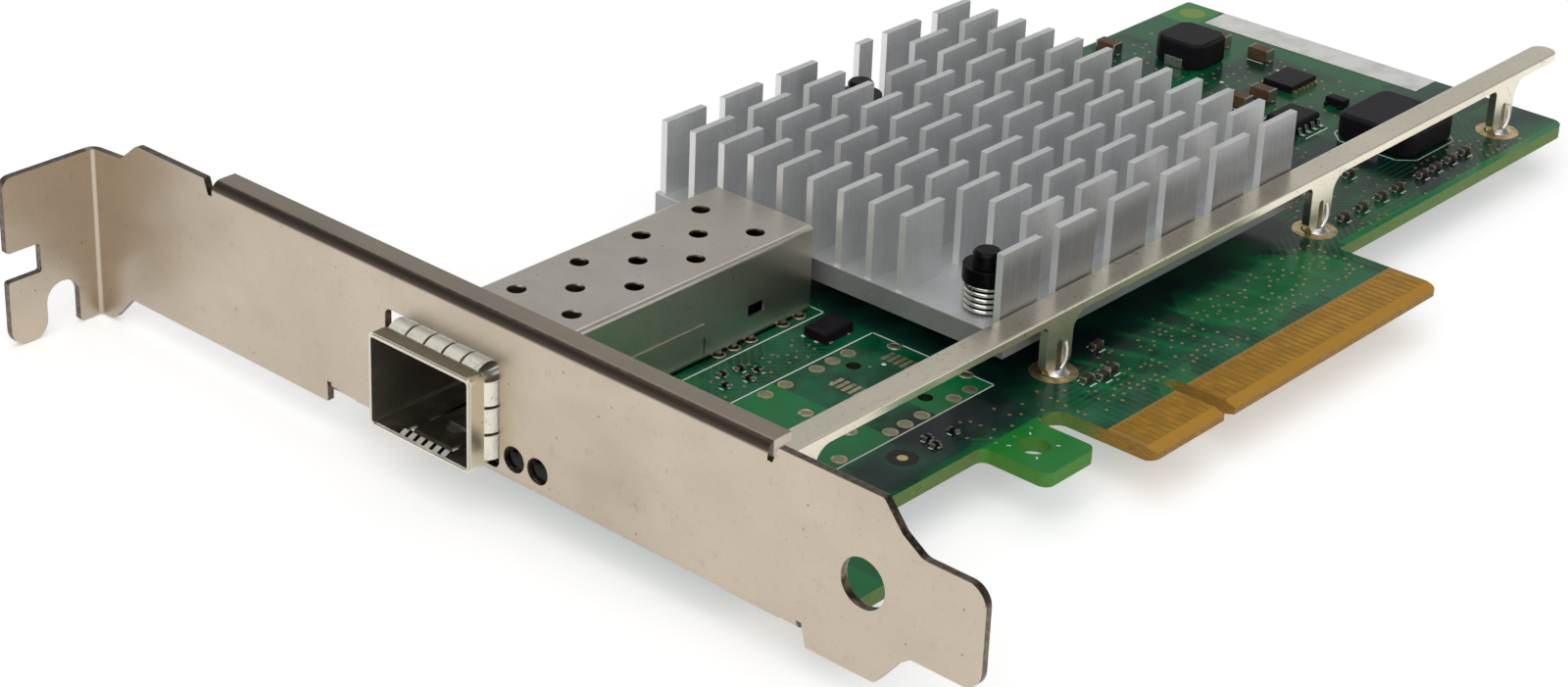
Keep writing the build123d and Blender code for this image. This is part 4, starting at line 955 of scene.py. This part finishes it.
class NETWORK_CARD_OT_solder(bpy.types.Operator):
    """Put solder at the pins, the bar's legs and the ends of the small parts"""

    bl_idname = "network_card.solder"
    bl_label = "Solder Joints"

    # The joint beside a small part: its middle's distance from the end, depth, width, height and rounding
    joint_reach, joint_depth, joint_width, joint_height, joint_round = 0.28, 0.34, 0.62, 0.2, 0.1
    oscillator_reach, oscillator_inset = 0.1, 0.75
    # Rings above this height are on the component side
    front_z = -0.5
    # Shift of the mound and of the run from the leg's middle, and the mound's rounding
    mound_shift, run_shift, mound_round = (0.15, -0.1, 0.03), (0.25, 0.0, 0.3), 0.16
    # Filled holes besides those of the land pattern
    extra_holes = [(-31.2, 29.0), (-31.0, 23.5), (-13.9, 32.0), (-13.5, 22.9)]
    largest_ring, smallest_ring = 1.8, 1.0
    # The row of holes below this place is repeated as rings along the cage's near side, this far in
    repeated_below_y, ring_inset = 22.0, 0.3

    def execute(self, context):
        solder = solder_finish("bright_solder", card(context)[1].solder)
        self.join_small_parts()
        self.join_legs(solder)
        self.fill_holes()
        return {"FINISHED"}

    def join_small_parts(self):
        depth, width, reach = self.joint_depth * MM, self.joint_width * MM, self.joint_reach * MM
        joint = Pattern("small_part_fillet", length=depth, width=width, height=self.joint_height * MM)
        joint.finish(joint.on_places(joint.box()), solder_finish("small_part_solder", paint(158, 154, 146), 0.34))
        along, across = [], []
        low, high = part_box("oscillator")
        for x in (low.x + self.oscillator_inset * MM, high.x - self.oscillator_inset * MM):
            across += [(x, y, 0.0) for y in (low.y - self.oscillator_reach * MM, high.y + self.oscillator_reach * MM)]
        for low, high in chip_parts():
            middle = (low + high) / 2
            if high.x - low.x > high.y - low.y:
                along += [(x, middle.y, 0.0) for x in (low.x - reach, high.x + reach)]
            else:
                across += [(middle.x, y, 0.0) for y in (low.y - reach, high.y + reach)]
        rounded(joint.put("part_solder_x", along, "solder_ends"), self.joint_round * MM)
        joint.sizes.update(length=width, width=depth)
        rounded(joint.put("part_solder_y", across, "solder_ends"), self.joint_round * MM)

    def join_legs(self, solder):
        """A mound of solder round each leg of the bar and a thin run of it up the leg."""
        legs = middles(box for box in islands("stiffener_pads") if box[1].z > self.front_z * MM)
        mound = Pattern("bar_leg_fillet", low=1.6 * MM, high=0.9 * MM, height=0.55 * MM, sides=28)
        mound.finish(mound.on_places(mound.smooth(mound.cone("low", "high"))), solder)
        piece = mound.put("bar_solder", self.beside(legs, *self.mound_shift), "solder_ends")
        rounded(piece, self.mound_round * MM, segments=3, angle=20)

        run = Pattern("solder_run", radius=0.3 * MM, reach=0.85 * MM, height=2.9 * MM, bow=0.55 * MM,
                      sides=12, steps=14)
        reach, height, bow = run.size("reach"), run.size("height"), run.size("bow")
        path = run.add("GeometryNodeCurveQuadraticBezier", None,
                       {"Resolution": "steps", "Start": run.vector(0.0, bow * -1.0, 0.0),
                        "Middle": run.vector(reach * 1.25, bow * -1.6, height * 0.4),
                        "End": run.vector(reach, bow * -0.6, height)}, out="Curve")
        run.finish(run.on_places(run.tube(path)), solder)
        run.put("leg_solder_runs", self.beside(legs, *self.run_shift), "solder_ends")

    def beside(self, legs, x, y, z):
        """Places at that shift from each leg, above the board."""
        return [(leg.x + x * MM, leg.y + y * MM, z * MM) for leg in legs]

    def fill_holes(self):
        """Dull solder in the holes of the land pattern, and copper rings at the extra ones and along the cage."""
        holes = middles(box for box in islands("port_pads") if box[1].x - box[0].x < self.largest_ring * MM
                        and box[1].y - box[0].y > self.smallest_ring * MM)
        extra = flat(self.extra_holes)
        fill = Pattern("filled_hole", radius=0.53 * MM, height=0.05 * MM, sides=20)
        fill.finish(fill.on_places(fill.cone("radius", fill.size("radius") * 0.9)),
                    solder_finish("dull_solder", paint(158, 162, 138), 0.4))
        fill.put("filled_holes", [(hole.x, hole.y, 0.0) for hole in holes] + extra, "port_pads")
        ring = Pattern("copper_ring", outer=0.82 * MM, inner=0.52 * MM, height=0.04 * MM, sides=20)
        ring.finish(ring.on_places(ring.ring()), pad_finish("ring_copper", paint(204, 196, 162)))
        shell_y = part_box("port_cage")[0].y + self.ring_inset * MM
        along_cage = [(hole.x, shell_y, 0.0) for hole in holes if hole.y < self.repeated_below_y * MM]
        ring.put("copper_rings", extra + along_cage, "port_pads")


class NETWORK_CARD_OT_bracket(bpy.types.Operator):
    """Finish the bracket and the two screws that hold it to the board"""

    bl_idname = "network_card.bracket"
    bl_label = "Bracket"

    def execute(self, context):
        sizes, colours = card(context)
        steel = plated_finish("nickel_plated_steel", colours.plating, paint(104, 92, 80),
                              sheet_x=sizes.bracket_face / MM)
        softened("bracket", sizes.sheet_round, steel)
        screw = plated_finish("screw_steel", paint(190, 188, 182), paint(90, 88, 84), 0.28)
        softened("bracket_screws", sizes.part_round, screw)
        return {"FINISHED"}


class NETWORK_CARD_OT_stiffener(bpy.types.Operator):
    """Finish the stiffener bar"""

    bl_idname = "network_card.stiffener"
    bl_label = "Stiffener Bar"

    def execute(self, context):
        sizes, colours = card(context)
        tin = plated_finish("tinned_bar", colours.tin, paint(120, 112, 98), 0.3, grime=0.5)
        softened("stiffener_bar", sizes.sheet_round * 1.2, tin)
        return {"FINISHED"}


class NETWORK_CARD_OT_cage(bpy.types.Operator):
    """Finish the port cage, its spring collar and the connector inside"""

    bl_idname = "network_card.cage"
    bl_label = "Port Cage"

    def execute(self, context):
        sizes, colours = card(context)
        softened("port_cage", sizes.thin_round,
                 plated_finish("cage_plating", colours.cage, paint(96, 92, 78), 0.32, 0.09))
        low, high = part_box("port_cage")
        mouth_x, port_y = sizes.cage_mouth / MM, (low.y + high.y) / 2 / MM
        # The cage plating darkened as painted shade inside the cage
        softened("cage_floor", sizes.thin_round * 0.6,
                 floor_plate_finish(scaled(colours.cage, 0.6), mouth_x, port_y))
        softened("cage_collar", sizes.thin_round * 0.8, collar_finish(mouth_x))
        softened("connector_housing", sizes.part_round, moulded_finish("black_housing", paint(18, 18, 20), 0.42))
        dress(gold_finish(colours, "contact_gold"), "connector_contacts")
        softened("status_lamps", sizes.part_round, lens_finish())
        return {"FINISHED"}


class NETWORK_CARD_OT_heat_sink(bpy.types.Operator):
    """Grow the heat sink's fins on its base and finish the chip under it"""

    bl_idname = "network_card.heat_sink"
    bl_label = "Heat Sink"

    columns, rows = 6, 12
    missing = [(0, 1), (0, 2), (3, 10), (3, 11)]
    base_height, foot_depth = 2.5, 0.5
    inset_x, inset_far_x, inset_y, inset_high_y = 0.3, 0.1, 0.9, 0.42
    # The short fin beside the far push pin: its column, its length and its middle from the column's start
    short_column, short_length, short_middle = 3, 2.4, 5.55
    hole_radius = 1.55

    def execute(self, context):
        sizes, colours = card(context)
        low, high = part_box("heat_sink")
        middle, whole = (low + high) / 2, high - low
        foot_z = low.z + self.base_height * MM - self.foot_depth * MM
        length, thickness = sizes.fin_length, sizes.fin_thickness
        column_pitch = (whole.x - length - (self.inset_x + self.inset_far_x) * MM) / (self.columns - 1)
        row_pitch = (whole.y - thickness - (self.inset_y + self.inset_high_y) * MM) / (self.rows - 1)
        first_x = low.x + self.inset_x * MM
        first_y = low.y + self.inset_y * MM + thickness / 2
        places = [(first_x + column * column_pitch + length / 2, first_y + row * row_pitch, foot_z)
                  for column in range(self.columns) for row in range(self.rows) if (column, row) not in self.missing]
        pin_1, pin_2 = middles(islands("push_pins"))
        sink = Pattern("fin_field", fin_length=length, fin_thickness=thickness, fin_height=high.z - foot_z,
                       base_length=whole.x, base_width=whole.y, base_height=self.base_height * MM,
                       base_x=middle.x, base_y=middle.y, base_z=low.z, foot_z=foot_z,
                       short_fin_length=self.short_length * MM,
                       short_fin_x=first_x + self.short_column * column_pitch + self.short_middle * MM,
                       short_fin_y=first_y + (self.rows - 1) * row_pitch,
                       hole_radius=self.hole_radius * MM, hole_sides=32,
                       hole_1_x=pin_1.x, hole_1_y=pin_1.y, hole_2_x=pin_2.x, hole_2_y=pin_2.y)
        fins = sink.real(sink.on_places(sink.box("fin_length", "fin_thickness", "fin_height")))
        short_fin = sink.shift(sink.box("short_fin_length", "fin_thickness", "fin_height"),
                               "short_fin_x", "short_fin_y", "foot_z")
        base = sink.shift(sink.box("base_length", "base_width", "base_height"), "base_x", "base_y", "base_z")
        depth = sink.size("base_height")
        drills = [sink.shift(sink.cone("hole_radius", "hole_radius", depth * 3, "hole_sides"),
                             hole + "_x", hole + "_y", sink.size("base_z") - depth) for hole in ("hole_1", "hole_2")]
        material = anodised_finish(colours.aluminium)
        sink.finish(sink.cut(sink.united(base, fins, short_fin), *drills), material)
        mesh = merged(sink.grow("pin_fin_heat_sink", places))
        rounded(place_piece("pin_fin_heat_sink", mesh, "heat_sink", ("heat_sink",), material), sizes.fin_round)
        dress(moulded_finish("thermal_gum", paint(120, 124, 128), 0.7), "thermal_pad")
        softened("controller_chip", sizes.part_round, moulded_finish("chip_moulding", paint(42, 44, 46)))
        return {"FINISHED"}


class NETWORK_CARD_OT_push_pins(bpy.types.Operator):
    """Finish the two push pins and wind their springs"""

    bl_idname = "network_card.push_pins"
    bl_label = "Push Pins"

    def execute(self, context):
        sizes = card(context)[0]
        nylon = moulded_finish("black_nylon", paint(7, 5, 8), 0.3, 2.0, 0.006)
        softened("push_pins", sizes.part_round * 1.6, nylon)
        wire = plated_finish("spring_wire", paint(222, 220, 214), paint(110, 106, 100), 0.2)
        springs = islands("push_pin_springs")
        low, high = springs[0]
        half_wire = sizes.wire / 2
        coil = Pattern("coil_spring", coil_radius=(high.x - low.x) / 2 - half_wire, wire_radius=half_wire,
                       rise=high.z - low.z - sizes.wire, turns=sizes.spring_turns, steps=28, sides=8)
        path = coil.add("GeometryNodeCurveSpiral", None,
                        {"Resolution": "steps", "Rotations": "turns", "Start Radius": "coil_radius",
                         "End Radius": "coil_radius", "Height": "rise"})
        coil.finish(coil.on_places(coil.tube(path, "wire_radius")), wire)
        places = [((low.x + high.x) / 2, (low.y + high.y) / 2, low.z + half_wire) for low, high in springs]
        coil.put("coil_springs", places, "push_pin_springs", ("push_pin_springs",))
        return {"FINISHED"}


class NETWORK_CARD_OT_small_parts(bpy.types.Operator):
    """Finish the parts soldered on the board"""

    bl_idname = "network_card.small_parts"
    bl_label = "Small Parts"

    def execute(self, context):
        sizes, colours = card(context)
        # Each part, its share of the rounding and its finish
        for node, share, material in (
            ("oscillator", 1, moulded_finish("oscillator_ceramic", paint(22, 16, 24), 0.34)),
            ("square_inductor", 2, ferrite_finish("square_inductor_ferrite", paint(20, 17, 22))),
            ("wide_inductor", 2, ferrite_finish("wide_inductor_ferrite", paint(22, 19, 26))),
            ("inductor_terminals", 0.5, solder_finish("terminal_tin", colours.solder)),
            ("soic_chip", 1, moulded_finish("soic_moulding", paint(24, 22, 26), 0.45)),
            ("soic_leads", 0.4, solder_finish("lead_tin", paint(206, 206, 204))),
            ("regulator_chip", 1, moulded_finish("regulator_moulding", paint(22, 21, 26), 0.42)),
            ("transistor", 1, moulded_finish("transistor_moulding", paint(20, 18, 22), 0.45)),
            ("large_capacitors", 1, moulded_finish("capacitor_ceramic", paint(96, 74, 54), 0.42)),
            ("small_capacitors", 0.8, moulded_finish("small_capacitor_ceramic", paint(58, 46, 38), 0.42)),
            ("resistors", 0.6, moulded_finish("resistor_glaze", paint(16, 15, 20), 0.3)),
            ("solder_ends", 0.6, solder_finish("end_cap_tin", paint(160, 155, 146), 0.34)),
        ):
            softened(node, sizes.part_round * share, material)
        return {"FINISHED"}


class NETWORK_CARD_OT_stage(bpy.types.Operator):
    """Set up the pale floor, the soft lights and the camera"""

    bl_idname = "network_card.stage"
    bl_label = "Stage"

    # The camera: turns in degrees, place in millimetres, then pixels of the whole image
    azimuth, elevation, roll = 48.04, 24.51, 1.76
    eye = (-243.13, -147.94, 150.51)
    focal_pixels = 3239.4
    centre = (725.14, 185.72)
    image = (1600, 701)
    sensor = 36.0

    # Name, place and size in metres, and watts of each lamp
    lamps = [
        ("key_softbox", (-0.75, -0.35, 0.95), 1.3, 9.0),
        ("top_softbox", (0.25, 0.30, 1.25), 1.5, 6.0),
        ("front_fill", (-0.10, -1.15, 0.45), 1.2, 2.4),
    ]
    aim = (0.02, 0.04, 0.0)
    floor_reach = 3.0
    white = (1, 1, 1, 1)

    def execute(self, context):
        scene = context.scene
        self.add_floor()
        self.add_world(scene)
        for name, place, size, watts in self.lamps:
            self.add_lamp(name, Vector(place), size, watts)
        self.add_camera(scene)
        scene.view_settings.view_transform = "Standard"
        return {"FINISHED"}

    def add_floor(self):
        shape = bmesh.new()
        bmesh.ops.create_grid(shape, x_segments=1, y_segments=1, size=self.floor_reach,
                              matrix=Matrix.Translation((0, 0, FLOOR_Z)))
        mesh = mesh_of(shape, "floor")
        floor = linked("floor", mesh)
        material = bpy.data.materials.new("pale_floor")
        material.use_nodes = True
        work = NodeWork(material.node_tree)
        work.tree.nodes.clear()
        diffuse = work.add("ShaderNodeBsdfDiffuse", None, {"Color": (0.82, 0.82, 0.82, 1)})
        glow = work.add("ShaderNodeEmission", None, {"Color": self.white, "Strength": work.seen() * 0.42})
        work.end("ShaderNodeOutputMaterial", work.add("ShaderNodeAddShader", None, {0: diffuse, 1: glow}))
        mesh.materials.append(material)

    def add_world(self, scene):
        """A white room that is darker overhead, and brighter to the eye than as a light."""
        world = scene.world = bpy.data.worlds.new("soft_studio")
        world.use_nodes = True
        work = NodeWork(world.node_tree)
        work.tree.nodes.clear()
        direction = work.add("ShaderNodeTexCoord", out="Generated")
        height = work.add("ShaderNodeSeparateXYZ", None, {0: direction}).output("Z")
        shade = 1 - height.rise(0.02, 0.44) * 0.58 - height.rise(0.46, 0.7) * 0.26
        sockets = {"Color": self.white, "Strength": (work.seen() * 0.35 + 0.65) * shade}
        work.end("ShaderNodeOutputWorld", work.add("ShaderNodeBackground", None, sockets))

    def add_lamp(self, name, place, size, watts):
        lamp = bpy.data.lights.new(name, "AREA")
        lamp.shape = "SQUARE"
        lamp.size = size
        lamp.energy = watts
        holder = linked(name, lamp)
        holder.location = place
        holder.rotation_euler = (Vector(self.aim) - place).to_track_quat("-Z", "Y").to_euler()

    def add_camera(self, scene):
        azimuth, elevation, roll = (math.radians(angle) for angle in (self.azimuth, self.elevation, self.roll))
        forward = Vector((math.cos(elevation) * math.sin(azimuth), math.cos(elevation) * math.cos(azimuth),
                          -math.sin(elevation)))
        right = forward.cross(Vector((0, 0, 1))).normalized()
        up = right.cross(forward)
        turned_right = math.cos(roll) * right + math.sin(roll) * up
        turned_up = -math.sin(roll) * right + math.cos(roll) * up
        width, height = self.image
        lens = bpy.data.cameras.new("camera")
        lens.sensor_width = self.sensor
        lens.lens = self.sensor * self.focal_pixels / width
        lens.shift_x = (width / 2 - self.centre[0]) / width
        lens.shift_y = (self.centre[1] - height / 2) / width
        lens.clip_start = 0.01
        lens.clip_end = 20.0
        camera = linked("camera", lens)
        columns = Matrix((turned_right, turned_up, -forward)).transposed()
        camera.matrix_world = Matrix.Translation(Vector(self.eye) * MM) @ columns.to_4x4()
        scene.camera = camera


class NETWORK_CARD_PT_panel(bpy.types.Panel):
    """Lists the card's pieces"""

    bl_idname = "NETWORK_CARD_PT_panel"
    bl_label = "Network Interface Card"
    bl_space_type = "VIEW_3D"
    bl_region_type = "UI"
    bl_category = "Network Card"

    def draw(self, context):
        for operator in STEPS:
            self.layout.operator(operator.bl_idname)
        for group in card(context):
            box = self.layout.box()
            for key in group.bl_rna.properties.keys():
                if key not in {"rna_type", "name"}:
                    box.prop(group, key)


STEPS = (
    NETWORK_CARD_OT_board,
    NETWORK_CARD_OT_vias,
    NETWORK_CARD_OT_markings,
    NETWORK_CARD_OT_solder,
    NETWORK_CARD_OT_bracket,
    NETWORK_CARD_OT_stiffener,
    NETWORK_CARD_OT_cage,
    NETWORK_CARD_OT_heat_sink,
    NETWORK_CARD_OT_push_pins,
    NETWORK_CARD_OT_small_parts,
    NETWORK_CARD_OT_stage,
)
CLASSES = (CardSizes, CardColours) + STEPS + (NETWORK_CARD_PT_panel,)


def register():
    for item in CLASSES:
        bpy.utils.register_class(item)
    bpy.types.Scene.network_card_sizes = bpy.props.PointerProperty(type=CardSizes)
    bpy.types.Scene.network_card_colours = bpy.props.PointerProperty(type=CardColours)


def unregister():
    del bpy.types.Scene.network_card_sizes
    del bpy.types.Scene.network_card_colours
    for item in reversed(CLASSES):
        bpy.utils.unregister_class(item)


def main():
    register()
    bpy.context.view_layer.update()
    bpy.ops.network_card.board()
    bpy.ops.network_card.vias()
    bpy.ops.network_card.markings()
    bpy.ops.network_card.solder()
    bpy.ops.network_card.bracket()
    bpy.ops.network_card.stiffener()
    bpy.ops.network_card.cage()
    bpy.ops.network_card.heat_sink()
    bpy.ops.network_card.push_pins()
    bpy.ops.network_card.small_parts()
    bpy.ops.network_card.stage()


if __name__ == "__main__":
    main()
